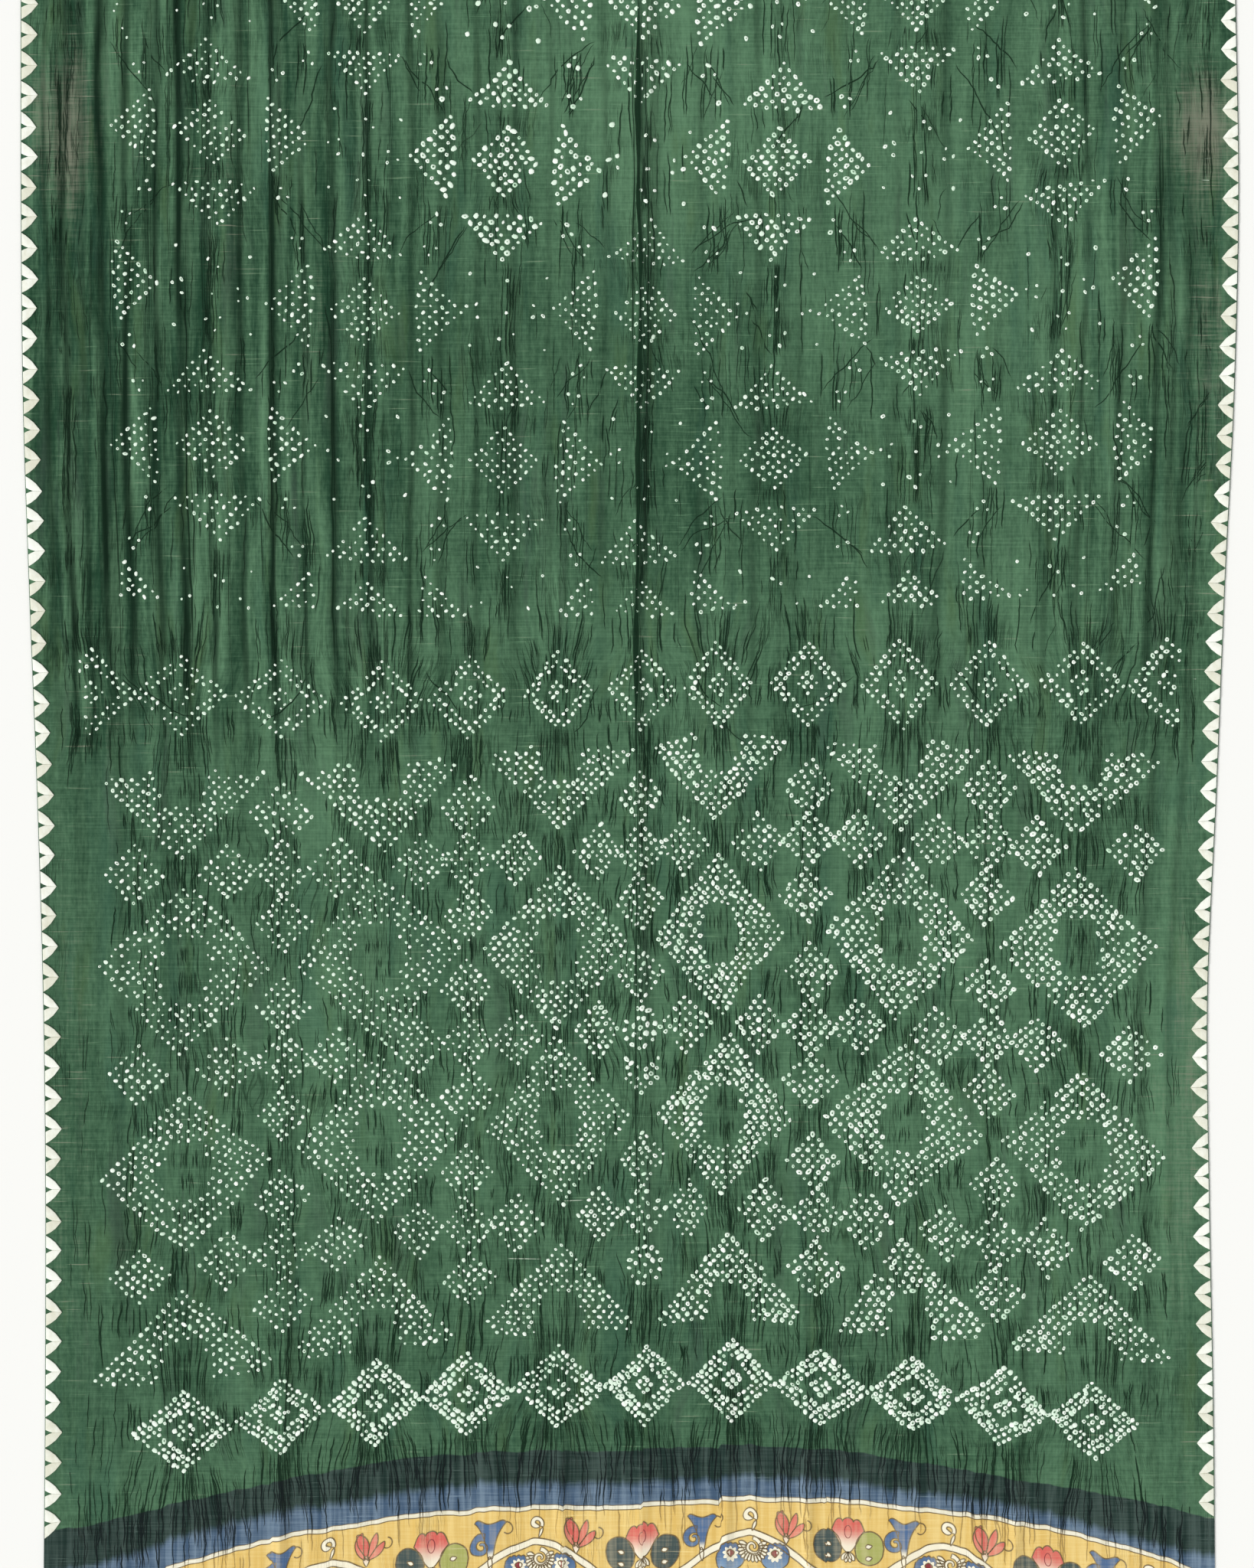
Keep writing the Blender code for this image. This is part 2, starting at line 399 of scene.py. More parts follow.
def listMotifs():
    # every motif: kind, place across, row heights with their knots, shift in mm, how much of it is tied
    found = []
    for rowNumber, heights in enumerate(upperRows):
        for columnNumber, place in enumerate(upperColumns):
            kind = "fourPointed" if (rowNumber + columnNumber) % 2 == 0 else "sparse"
            found.append((kind, place, upperKnots, heights, (0.0, 0.0), "all", 1.0))
    for row in ("borderHigh", "borderLow"):
        columns = highColumns if row == "borderHigh" else lowColumns
        kind = "frameHigh" if row == "borderHigh" else "frameLow"
        for column, place in enumerate(columns):
            squeeze = columnSqueeze(columns, column)
            found.append((kind, place, lowerKnots, lowerRows[row], (0.0, 0.0), "all", squeeze))
    for place, part in zip(highEdges, ("rightHalf", "leftHalf")):
        found.append(("frameHigh", place, lowerKnots, lowerRows["borderHigh"], (0.0, 0.0), part, 1.0))
    for number in range(4):
        part = {0: "lowerHalf", 3: "upperHalf"}.get(number, "all")
        heights = lowerRows[f"wreath{number}"]
        for column in range(0, 11, 2):
            place = fieldPlace(column, np.mean(heights))
            squeeze = columnSqueeze(highColumns, column)
            found.append(("wreath", place, lowerKnots, heights, (0.0, 0.0), part, squeeze))
    for number in (1, 2, 3):
        heights = lowerRows[f"plus{number}"]
        for column in range(1, 11, 2):
            place = fieldPlace(column, np.mean(heights))
            squeeze = columnSqueeze(highColumns, column)
            for shift in [(0, 0), (-1, 0), (1, 0), (0, -1), (0, 1)]:
                offset = (shift[0] * motifs["plusAcross"] * squeeze, shift[1] * motifs["plusAlong"])
                kind = creaseMotifs.get((number, shift), "small") if column == 5 else "small"
                found.append((kind, place, lowerKnots, heights, offset, "all", squeeze))
        for place in fieldEdges:
            found.append(("small", place, lowerKnots, heights, (0.0, 0.0), "all", 1.0))
    return found


# On the centre crease some of the small diamonds are tied as fewer, larger dots: (row of pluses, arm)
creaseMotifs = {
    (1, (0, 1)): "smallSparse",
    (2, (0, 0)): "rosette",
    (2, (0, -1)): "chevron",
    (3, (0, 0)): "smallSparse",
    (3, (0, -1)): "rosette",
}


def columnSqueeze(columns, column):
    # motifs are drawn in where their columns run close together
    before = columns[max(column - 1, 0)]
    after = columns[min(column + 1, len(columns) - 1)]
    steps = 2 if 0 < column < len(columns) - 1 else 1
    return (after - before) / steps * 0.965 / motifs["columnStep"]


def fieldPlace(column, alongMm):
    share = (alongMm - 75.0) / (-500.0 - 75.0)
    return highColumns[column] + (lowColumns[column] - highColumns[column]) * share


motifList = listMotifs()
motifReach = {  # half width and half height in mm
    "fourPointed": (26.0, 26.0),
    "sparse": (10.0, 20.0),
    "frameHigh": (33.0, 33.0),
    "frameLow": (36.0, 33.0),
    "wreath": (65.0, 65.0),
    "small": (22.0, 22.0),
    "smallSparse": (22.0, 22.0),
    "rosette": (20.0, 20.0),
    "chevron": (18.0, 18.0),
}


def motifCentre(motif):
    kind, place, knots, heights, shift, part, squeeze = motif
    along = (bow(knots, heights, place) + shift[1]) * millimetre
    across = acrossAt(place, along) + shift[0] * millimetre
    return float(across), float(along)


pullCentres = np.array([(*motifCentre(motif), *motifReach[motif[0]]) for motif in motifList])


def grainAt(across, along):
    # The cloth is drawn in above and below each tied motif: where its threads run, and how far it puckers
    across = np.asarray(across, dtype=float)
    along = np.asarray(along, dtype=float)
    pull = across + pulling["wander"] * softNoise(across, along, 0.05, 0.06, 21)
    pucker = np.zeros_like(across + along)
    for centreX, centreY, halfWidth, halfHeight in pullCentres:
        near = np.abs(along - centreY) < pulling["reachAlong"]
        near &= np.abs(across - centreX) < pulling["reachAcross"]
        if not np.any(near):
            continue
        dx = across[near] - centreX
        beyond = np.clip(np.abs(along[near] - centreY) - halfHeight * 0.8 * millimetre, 0.0, None)
        width = (halfWidth * 0.42 + 5.0) * millimetre
        fade = np.exp(-((beyond / pulling["fall"]) ** 2)) * np.exp(-((dx / (width * 1.4)) ** 2))
        pull[near] += pulling["strength"] * dx * fade
        within = np.abs(along[near] - centreY) < halfHeight * 0.7 * millimetre
        inside = np.where(within, pulling["underDots"], 1.0)
        pucker[near] = np.maximum(pucker[near], fade * inside)
    return pull, pucker


def makeTopTable():
    along = np.linspace(-halfLength, halfLength, sheet["rows"] + 1)[:, None]
    place = np.linspace(0.0, 1.0, sheet["columns"] + 1)[None, :]
    along = along + 0.0 * place
    return sheetTop(acrossAt(place, along), along)


topTable = makeTopTable()


def laidTop(across, along):
    # height of the modelled sheet between the points of its grid
    column = np.clip(placeOf(across, along), 0.0, 1.0) * sheet["columns"]
    row = np.clip(along / (2.0 * halfLength) + 0.5, 0.0, 1.0) * sheet["rows"]
    left = np.minimum(column.astype(int), sheet["columns"] - 1)
    low = np.minimum(row.astype(int), sheet["rows"] - 1)
    shareX = column - left
    shareY = row - low
    near = topTable[low, left] * (1.0 - shareX) + topTable[low, left + 1] * shareX
    far = topTable[low + 1, left] * (1.0 - shareX) + topTable[low + 1, left + 1] * shareX
    return near * (1.0 - shareY) + far * shareY


# Broad light and dark places in the dye: across, along, half width, half height in m, and how much lighter
dyePatches = [
    (0.03, 0.56, 0.10, 0.10, 0.14),
    (0.26, 0.48, 0.16, 0.20, 0.05),
    (-0.36, 0.33, 0.17, 0.36, -0.07),
    (-0.47, 0.38, 0.05, 0.28, -0.05),
    (0.00, 0.12, 0.45, 0.04, 0.06),
    (-0.46, -0.10, 0.05, 0.45, -0.05),
    (0.47, 0.42, 0.07, 0.30, -0.06),
    (0.42, -0.30, 0.10, 0.35, 0.06),
    (-0.20, -0.15, 0.22, 0.24, 0.06),
    (0.02, 0.24, 0.16, 0.16, -0.06),
    (0.10, -0.52, 0.40, 0.05, -0.04),
    (0.25, -0.15, 0.15, 0.20, 0.05),
]
# Places where the dye has washed out to a greyed brown, in the same order
fadedPatches = [
    (-0.455, 0.530, 0.034, 0.080, 0.80),
    (-0.405, 0.060, 0.060, 0.045, 0.30),
    (-0.330, 0.450, 0.020, 0.160, 0.35),
    (-0.250, 0.400, 0.012, 0.120, 0.35),
    (0.462, 0.530, 0.030, 0.060, 0.90),
    (0.470, 0.330, 0.020, 0.150, 0.50),
    (-0.455, -0.250, 0.030, 0.300, 0.36),
    (0.450, -0.250, 0.030, 0.280, 0.46),
    (-0.470, 0.300, 0.016, 0.080, 0.30),
]

# Dark stripes along the pleats, partly dye gathered there and partly painted shade, the one at 0.512 the
# painted shadow beside the centre crease: place across, half width in mm, darkness
stripeRows = [
    (0.020, 2.5, 0.6),
    (0.035, 2.5, 0.8),
    (0.050, 2.5, 0.6),
    (0.065, 2.5, 0.9),
    (0.085, 3.0, 0.9),
    (0.110, 2.5, 0.8),
    (0.130, 3.0, 1.0),
    (0.155, 2.5, 0.7),
    (0.180, 2.5, 0.7),
    (0.205, 2.5, 1.0),
    (0.230, 2.0, 0.6),
    (0.255, 3.0, 0.8),
    (0.285, 3.0, 0.7),
    (0.320, 2.5, 0.6),
    (0.345, 3.5, 0.5),
    (0.375, 2.5, 0.5),
    (0.405, 3.5, 0.5),
    (0.435, 2.5, 0.3),
    (0.480, 3.0, 0.3),
    (0.512, 3.0, 0.6),
    (0.560, 2.5, 0.3),
    (0.605, 3.0, 0.4),
    (0.640, 2.5, 0.3),
    (0.720, 3.0, 0.3),
    (0.760, 3.5, 0.5),
    (0.795, 2.5, 0.3),
    (0.850, 2.5, 0.4),
    (0.875, 2.5, 0.5),
    (0.905, 3.0, 0.4),
    (0.935, 3.5, 0.7),
    (0.960, 3.5, 0.5),
]
stripeFoot = (-0.03, 0.12)  # the stripes fade in between these heights
foldShade = 0.30  # painted shade on a fold's flank
lineShade = 0.85  # painted shade along a sharp fold of the painted end

# The painted end's lines: across, then the heights in mm where the dark band, the blue and the ochre begin
bandRows = np.array([
    (-493.4, -608.2, -642.3, -679.5),
    (-417.1, -595.8, -629.9, -653.5),
    (-355.1, -579.1, -607.0, -631.2),
    (-293.1, -566.7, -592.7, -614.4),
    (-231.1, -552.4, -581.6, -602.0),
    (-138.1, -541.3, -567.9, -590.2),
    (-14.1, -538.8, -566.7, -586.5),
    (78.9, -535.1, -561.7, -580.9),
    (140.9, -536.9, -563.0, -580.9),
    (233.9, -548.1, -574.1, -588.4),
    (314.5, -563.6, -584.7, -599.5),
    (388.9, -574.1, -605.1, -615.0),
    (450.9, -589.6, -623.7, -636.1),
    (481.9, -597.1, -627.4, -649.8),
])


# Where a fold shifts the lines of the painted end: across, shift and how far it is felt, in mm
bandJogs = [
    (-375.0, 0.9, 9.0),
    (-290.0, 0.8, 8.0),
    (-53.0, 1.0, 7.0),
    (11.0, 1.3, 5.0),
    (74.0, 1.7, 14.0),
    (160.0, 0.9, 8.0),
]


def bandLine(across, column):
    # a soft line through the rows, in metres
    acrossMm = np.asarray(across, dtype=float) / millimetre
    total = np.zeros_like(acrossMm)
    for shift in (-22.0, -11.0, 0.0, 11.0, 22.0):
        total = total + np.interp(acrossMm + shift, bandRows[:, 0], bandRows[:, column])
    jog = 1.1 * softNoise(across, 0.0, 0.019, 1.0, 43) + 0.7 * softNoise(across, 0.0, 0.0065, 1.0, 44)
    for middle, rise, reach in bandJogs:
        jog = jog + rise * np.exp(-np.abs(acrossMm - middle) / reach) * np.sign(acrossMm - middle + 0.5)
    return (total / 5.0 + jog) * millimetre


def stripeAt(across, along):
    # painted shade on one flank of each fold and along sharp folds, and dark stripes along the pleats, partly
    # dye and partly painted shade
    dark = np.zeros_like(np.asarray(across, dtype=float))
    for row in foldRows:
        _, offset, height = foldPart(row, across, along)
        # painted shade on one flank of each fold
        flank = np.exp(-(((offset - 0.6) / 0.5) ** 2))
        dark = np.maximum(dark, foldShade * row[5] * smoothStep(height / 2.3) * flank)
        # painted shade along the sharp folds of the painted end
        sharp = np.exp(-np.abs((offset - 0.15) / 0.12) ** 2) * smoothStep((height - 1.4) / 0.7)
        dark = np.maximum(dark, lineShade * sharp * smoothStep((-0.52 - along) / 0.05))
    foot = smoothStep((along - stripeFoot[0]) / (stripeFoot[1] - stripeFoot[0]))
    for number, (place, halfWidth, darkness) in enumerate(stripeRows):
        still = across * 0.0 + number
        uneven = 0.9 + 0.38 * softNoise(still * 0.7, along, 1.0, 0.11, 31)
        uneven = uneven + 0.16 * softNoise(still, along, 1.0, 0.03, 34)
        centre = acrossAt(place, along) + 0.0024 * softNoise(still * 1.3, along, 1.0, 0.07, 32)
        width = halfWidth * millimetre * (1.15 + 0.3 * softNoise(still * 0.9, along, 1.0, 0.09, 33))
        dark = np.maximum(dark, foot * darkness * uneven * np.exp(-np.abs((across - centre) / width) ** 2.4))
    return np.clip(dark, 0.0, 1.0)


def patchesAt(patches, across, along):
    total = np.zeros_like(np.asarray(across, dtype=float))
    for centreX, centreY, halfWidth, halfHeight, amount in patches:
        reach = ((across - centreX) / halfWidth) ** 2 + ((along - centreY) / halfHeight) ** 2
        total = total + amount * np.exp(-reach)
    return total


def fadeAt(across, along):
    fade = 0.035 * softNoise(across, along, 0.06, 0.09, 41) + 0.03 * softNoise(across, along, 0.02, 0.12, 42)
    return fade + patchesAt(dyePatches, across, along)


def setPointValues(mesh, name, values):
    layer = mesh.attributes.new(name, "FLOAT", "POINT")
    layer.data.foreach_set("value", np.asarray(values, dtype=np.float32))


def setPointVectors(mesh, name, values):
    layer = mesh.attributes.new(name, "FLOAT_VECTOR", "POINT")
    layer.data.foreach_set("vector", np.asarray(values, dtype=np.float32).ravel())


def meshPoints(mesh):
    points = np.zeros(len(mesh.vertices) * 3)
    mesh.vertices.foreach_get("co", points)
    return points.reshape(-1, 3)


def writeDyeAndShade(mesh, across, along):
    # what the dye and the painted shade read at each point of a mesh on the cloth
    pull, pucker = grainAt(across, along)
    setPointVectors(mesh, "grain", np.stack([pull, along, across], axis=1))
    setPointValues(mesh, "pucker", pucker)
    place = placeOf(across, along)
    # where the soft pleats show as streaks, partly dye and partly painted light and shade
    leftward = smoothStep((0.38 - place) / 0.16)
    rightward = smoothStep((place - 0.80) / 0.1)
    pleated = 0.2 + 0.8 * np.maximum(leftward, 0.6 * rightward)
    setPointValues(mesh, "pleats", smoothStep((along + 0.02) / 0.12) * pleated)
    setPointValues(mesh, "stripe", stripeAt(across, along))
    setPointValues(mesh, "fade", fadeAt(across, along))
    setPointValues(mesh, "faded", patchesAt(fadedPatches, across, along))
    setPointValues(mesh, "darkLine", bandLine(across, 1) - along)
    setPointValues(mesh, "blueLine", bandLine(across, 2) - along)
    setPointValues(mesh, "ochreLine", bandLine(across, 3) - along)


def takeTemplate(bm):
    # points and triangles of a shape that is laid many times over
    bmesh.ops.triangulate(bm, faces=bm.faces[:])
    mesh = bpy.data.meshes.new("template")
    bm.to_mesh(mesh)
    bm.free()
    points = meshPoints(mesh)
    triangles = np.zeros(len(mesh.polygons) * 3, dtype=int)
    mesh.polygons.foreach_get("vertices", triangles)
    bpy.data.meshes.remove(mesh)
    return points, triangles.reshape(-1, 3)


def addPiece(name, mesh, material):
    piece = bpy.data.objects.new(name, mesh)
    scene.collection.objects.link(piece)
    mesh.materials.append(material)
    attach(piece, "root")
    return piece


# Node helpers
def newNode(tree, kind, **settings):
    node = tree.nodes.new(kind)
    for name, value in settings.items():
        setattr(node, name, value)
    return node


def plug(tree, source, target):
    if isinstance(source, bpy.types.NodeSocket):
        tree.links.new(source, target)
    else:
        target.default_value = source


def mathNode(tree, operation, *values):
    node = newNode(tree, "ShaderNodeMath", operation=operation)
    for value, socket in zip(values, node.inputs):
        plug(tree, value, socket)
    return node.outputs[0]


def times(tree, first, second):
    return mathNode(tree, "MULTIPLY", first, second)


def minus(tree, first, second):
    return mathNode(tree, "SUBTRACT", first, second)


def scaledAdd(tree, value, scale, base):
    return mathNode(tree, "MULTIPLY_ADD", value, scale, base)


def centred(tree, value):
    return minus(tree, value, 0.5)


def rampNode(tree, value, low, high, outLow=0.0, outHigh=1.0):
    node = newNode(tree, "ShaderNodeMapRange", interpolation_type="SMOOTHSTEP")
    plug(tree, value, node.inputs["Value"])
    node.inputs["From Min"].default_value = low
    node.inputs["From Max"].default_value = high
    node.inputs["To Min"].default_value = outLow
    node.inputs["To Max"].default_value = outHigh
    return node.outputs["Result"]


def mixNode(tree, share, first, second, blendType="MIX"):
    node = newNode(tree, "ShaderNodeMix", data_type="RGBA", blend_type=blendType, clamp_factor=True)
    plug(tree, share, node.inputs[0])
    plug(tree, first, node.inputs[6])
    plug(tree, second, node.inputs[7])
    return node.outputs[2]


def noiseNode(tree, vector, across, along, shift=0.0, detail=2.0, roughness=0.5, distortion=0.0):
    # noise with so many cells to a metre across and along the cloth
    mapping = newNode(tree, "ShaderNodeMapping")
    plug(tree, vector, mapping.inputs["Vector"])
    mapping.inputs["Scale"].default_value = (across, along, 0.0)
    mapping.inputs["Location"].default_value = (shift, shift * 0.37, shift * 0.11)
    node = newNode(tree, "ShaderNodeTexNoise")
    tree.links.new(mapping.outputs["Vector"], node.inputs["Vector"])
    node.inputs["Scale"].default_value = 1.0
    node.inputs["Detail"].default_value = detail
    node.inputs["Roughness"].default_value = roughness
    node.inputs["Distortion"].default_value = distortion
    return node.outputs["Fac"]


def attributeNode(tree, name):
    return newNode(tree, "ShaderNodeAttribute", attribute_name=name)


def newGroup(name, inputs, outputs):
    tree = bpy.data.node_groups.new(name, "ShaderNodeTree")
    for label, kind, start in inputs:
        socket = tree.interface.new_socket(label, in_out="INPUT", socket_type=kind)
        if start is not None:
            socket.default_value = start
    for label, kind in outputs:
        tree.interface.new_socket(label, in_out="OUTPUT", socket_type=kind)
    entry = tree.nodes.new("NodeGroupInput")
    leave = tree.nodes.new("NodeGroupOutput")
    return tree, entry.outputs, leave.inputs


def placeGroup(tree, group, **values):
    node = newNode(tree, "ShaderNodeGroup", node_tree=group)
    for label, value in values.items():
        plug(tree, value, node.inputs[label])
    return node.outputs


def rgb(red, green, blue):
    # colour from 0 to 255 as the eye sees it, to the light that the shader needs
    values = []
    for part in (red, green, blue):
        share = part / 255.0
        values.append(share / 12.92 if share <= 0.04045 else ((share + 0.055) / 1.055) ** 2.4)
    return (*values, 1.0)


def crinkleGroup():
    # fine creases along the cloth, gathered where it puckers; their lines serve as painted crease shade and
    # as bump
    tree, entry, leave = newGroup(
        "crinkle",
        [("Grain", "NodeSocketVector", None), ("Pucker", "NodeSocketFloat", 0.0)],
        [("Lines", "NodeSocketFloat"), ("Height", "NodeSocketFloat")],
    )
    patch = noiseNode(tree, entry["Grain"], 26.0, 11.0, 3.1, detail=2.0)
    amount = scaledAdd(tree, entry["Pucker"], 0.42, patch)
    dense = rampNode(tree, amount, 0.44, 0.78)
    first = noiseNode(tree, entry["Grain"], 170.0, 11.0, 1.7, detail=2.5, distortion=0.25)
    second = noiseNode(tree, entry["Grain"], 330.0, 22.0, 7.3, detail=2.0, distortion=0.35)
    firstGap = mathNode(tree, "ABSOLUTE", centred(tree, first))
    secondGap = mathNode(tree, "ABSOLUTE", minus(tree, second, 0.52))
    firstLine = rampNode(tree, firstGap, 0.0, 0.034, 1.0, 0.0)
    secondLine = rampNode(tree, secondGap, 0.0, 0.036, 0.8, 0.0)
    breaks = rampNode(tree, noiseNode(tree, entry["Grain"], 60.0, 30.0, 5.9, detail=1.0), 0.42, 0.6)
    lines = times(tree, mathNode(tree, "MAXIMUM", firstLine, secondLine), dense)
    lines = times(tree, lines, breaks)
    tree.links.new(lines, leave["Lines"])
    soft = scaledAdd(tree, second, 0.5, first)
    height = minus(tree, times(tree, soft, mathNode(tree, "ADD", dense, 0.25)), lines)
    tree.links.new(height, leave["Height"])
    return tree


def weaveGroup():
    # plain weave, with slubs that show as faint streaks both ways
    tree, entry, leave = newGroup(
        "weave",
        [("Place", "NodeSocketVector", None)],
        [("Streak", "NodeSocketFloat"), ("Height", "NodeSocketFloat")],
    )
    weft = noiseNode(tree, entry["Place"], 24.0, 760.0, 2.2, detail=3.0)
    warp = noiseNode(tree, entry["Place"], 620.0, 30.0, 4.4, detail=3.0)
    slub = noiseNode(tree, entry["Place"], 22.0, 520.0, 9.4, detail=1.0)
    slubLine = rampNode(tree, slub, 0.66, 0.78)
    streak = mathNode(tree, "ADD", times(tree, weft, 0.55), times(tree, warp, 0.45))
    streak = scaledAdd(tree, slubLine, 0.45, streak)
    tree.links.new(streak, leave["Streak"])
    threads = []
    for axis, pitch in (("X", 1.0), ("Y", 1.12)):
        wave = newNode(tree, "ShaderNodeTexWave", wave_type="BANDS", bands_direction=axis)
        tree.links.new(entry["Place"], wave.inputs["Vector"])
        wave.inputs["Scale"].default_value = 620.0 * pitch
        wave.inputs["Distortion"].default_value = 0.6
        wave.inputs["Detail"].default_value = 1.0
        threads.append(wave.outputs["Fac"])
    height = scaledAdd(tree, slubLine, 0.6, mathNode(tree, "MAXIMUM", *threads))
    tree.links.new(height, leave["Height"])
    return tree


def greenGroup():
    # uneven green dye with teal and olive places, with painted shade in the folds, pleats, creases and
    # puckers
    tree, entry, leave = newGroup(
        "greenDyeAndShade",
        [
            ("Place", "NodeSocketVector", None),
            ("Fade", "NodeSocketFloat", 0.0),
            ("Faded", "NodeSocketFloat", 0.0),
            ("Pucker", "NodeSocketFloat", 0.0),
            ("Pleats", "NodeSocketFloat", 0.0),
            ("Stripe", "NodeSocketFloat", 0.0),
            ("Streak", "NodeSocketFloat", 0.5),
            ("Lines", "NodeSocketFloat", 0.0),
        ],
        [("Color", "NodeSocketColor")],
    )
    cloud = noiseNode(tree, entry["Place"], 60.0, 8.0, 1.3, detail=4.0, roughness=0.6)
    speckle = noiseNode(tree, entry["Place"], 420.0, 160.0, 6.3, detail=3.0, roughness=0.6)
    level = scaledAdd(tree, centred(tree, cloud), 0.42, 0.5)
    level = scaledAdd(tree, entry["Fade"], 1.65, level)
    level = scaledAdd(tree, centred(tree, entry["Streak"]), 0.75, level)
    level = scaledAdd(tree, centred(tree, speckle), 0.45, level)
    # painted shade where the cloth puckers round the motifs
    level = scaledAdd(tree, times(tree, entry["Pucker"], cloud), -0.12, level)
    # streaks along the soft pleats, partly dye and partly painted light and shade
    pleat = noiseNode(tree, entry["Place"], 105.0, 6.5, 41.0, detail=4.0, roughness=0.6)
    pleat = times(tree, centred(tree, pleat), entry["Pleats"])
    level = scaledAdd(tree, pleat, 1.7, level)
    colour = mixNode(tree, rampNode(tree, level, 0.0, 1.0), rgb(29, 62, 43), rgb(95, 134, 102))
    teal = noiseNode(tree, entry["Place"], 46.0, 7.0, 12.1, detail=3.0)
    colour = mixNode(tree, rampNode(tree, teal, 0.54, 0.76, 0.0, 0.32), colour, rgb(44, 84, 70))
    olive = noiseNode(tree, entry["Place"], 52.0, 8.0, 17.7, detail=3.0)
    colour = mixNode(tree, rampNode(tree, olive, 0.56, 0.76, 0.0, 0.42), colour, rgb(76, 104, 64))
    slate = noiseNode(tree, entry["Place"], 80.0, 7.0, 23.9, detail=3.0)
    colour = mixNode(tree, rampNode(tree, slate, 0.56, 0.78, 0.0, 0.45), colour, rgb(62, 78, 68))
    washed = scaledAdd(tree, centred(tree, entry["Streak"]), 1.4, entry["Faded"])
    washed = scaledAdd(tree, centred(tree, cloud), 0.8, washed)
    colour = mixNode(tree, rampNode(tree, washed, 0.30, 1.15, 0.0, 0.85), colour, rgb(128, 130, 113))
    # dark stripes along the pleats, partly dye and partly painted shade
    colour = mixNode(tree, entry["Stripe"], colour, rgb(12, 36, 22))
    # painted shade in the fine creases
    colour = mixNode(tree, times(tree, entry["Lines"], 0.62), colour, rgb(14, 44, 25))
    tree.links.new(colour, leave["Color"])
    return tree


groups = {"crinkle": crinkleGroup(), "weave": weaveGroup(), "green": greenGroup()}


def newMaterial(name, roughness, sheen=0.0, specular=0.25):
    material = bpy.data.materials.new(name)
    material.use_nodes = True
    tree = material.node_tree
    shader = tree.nodes["Principled BSDF"]
    shader.inputs["Roughness"].default_value = roughness
    shader.inputs["Specular IOR Level"].default_value = specular
    shader.inputs["Sheen Weight"].default_value = sheen
    shader.inputs["Sheen Roughness"].default_value = 0.6
    return material, tree, shader


def bumpNode(tree, height, strength, distance, normal=None):
    node = newNode(tree, "ShaderNodeBump")
    plug(tree, height, node.inputs["Height"])
    node.inputs["Strength"].default_value = strength
    node.inputs["Distance"].default_value = distance
    if normal is not None:
        tree.links.new(normal, node.inputs["Normal"])
    return node.outputs["Normal"]


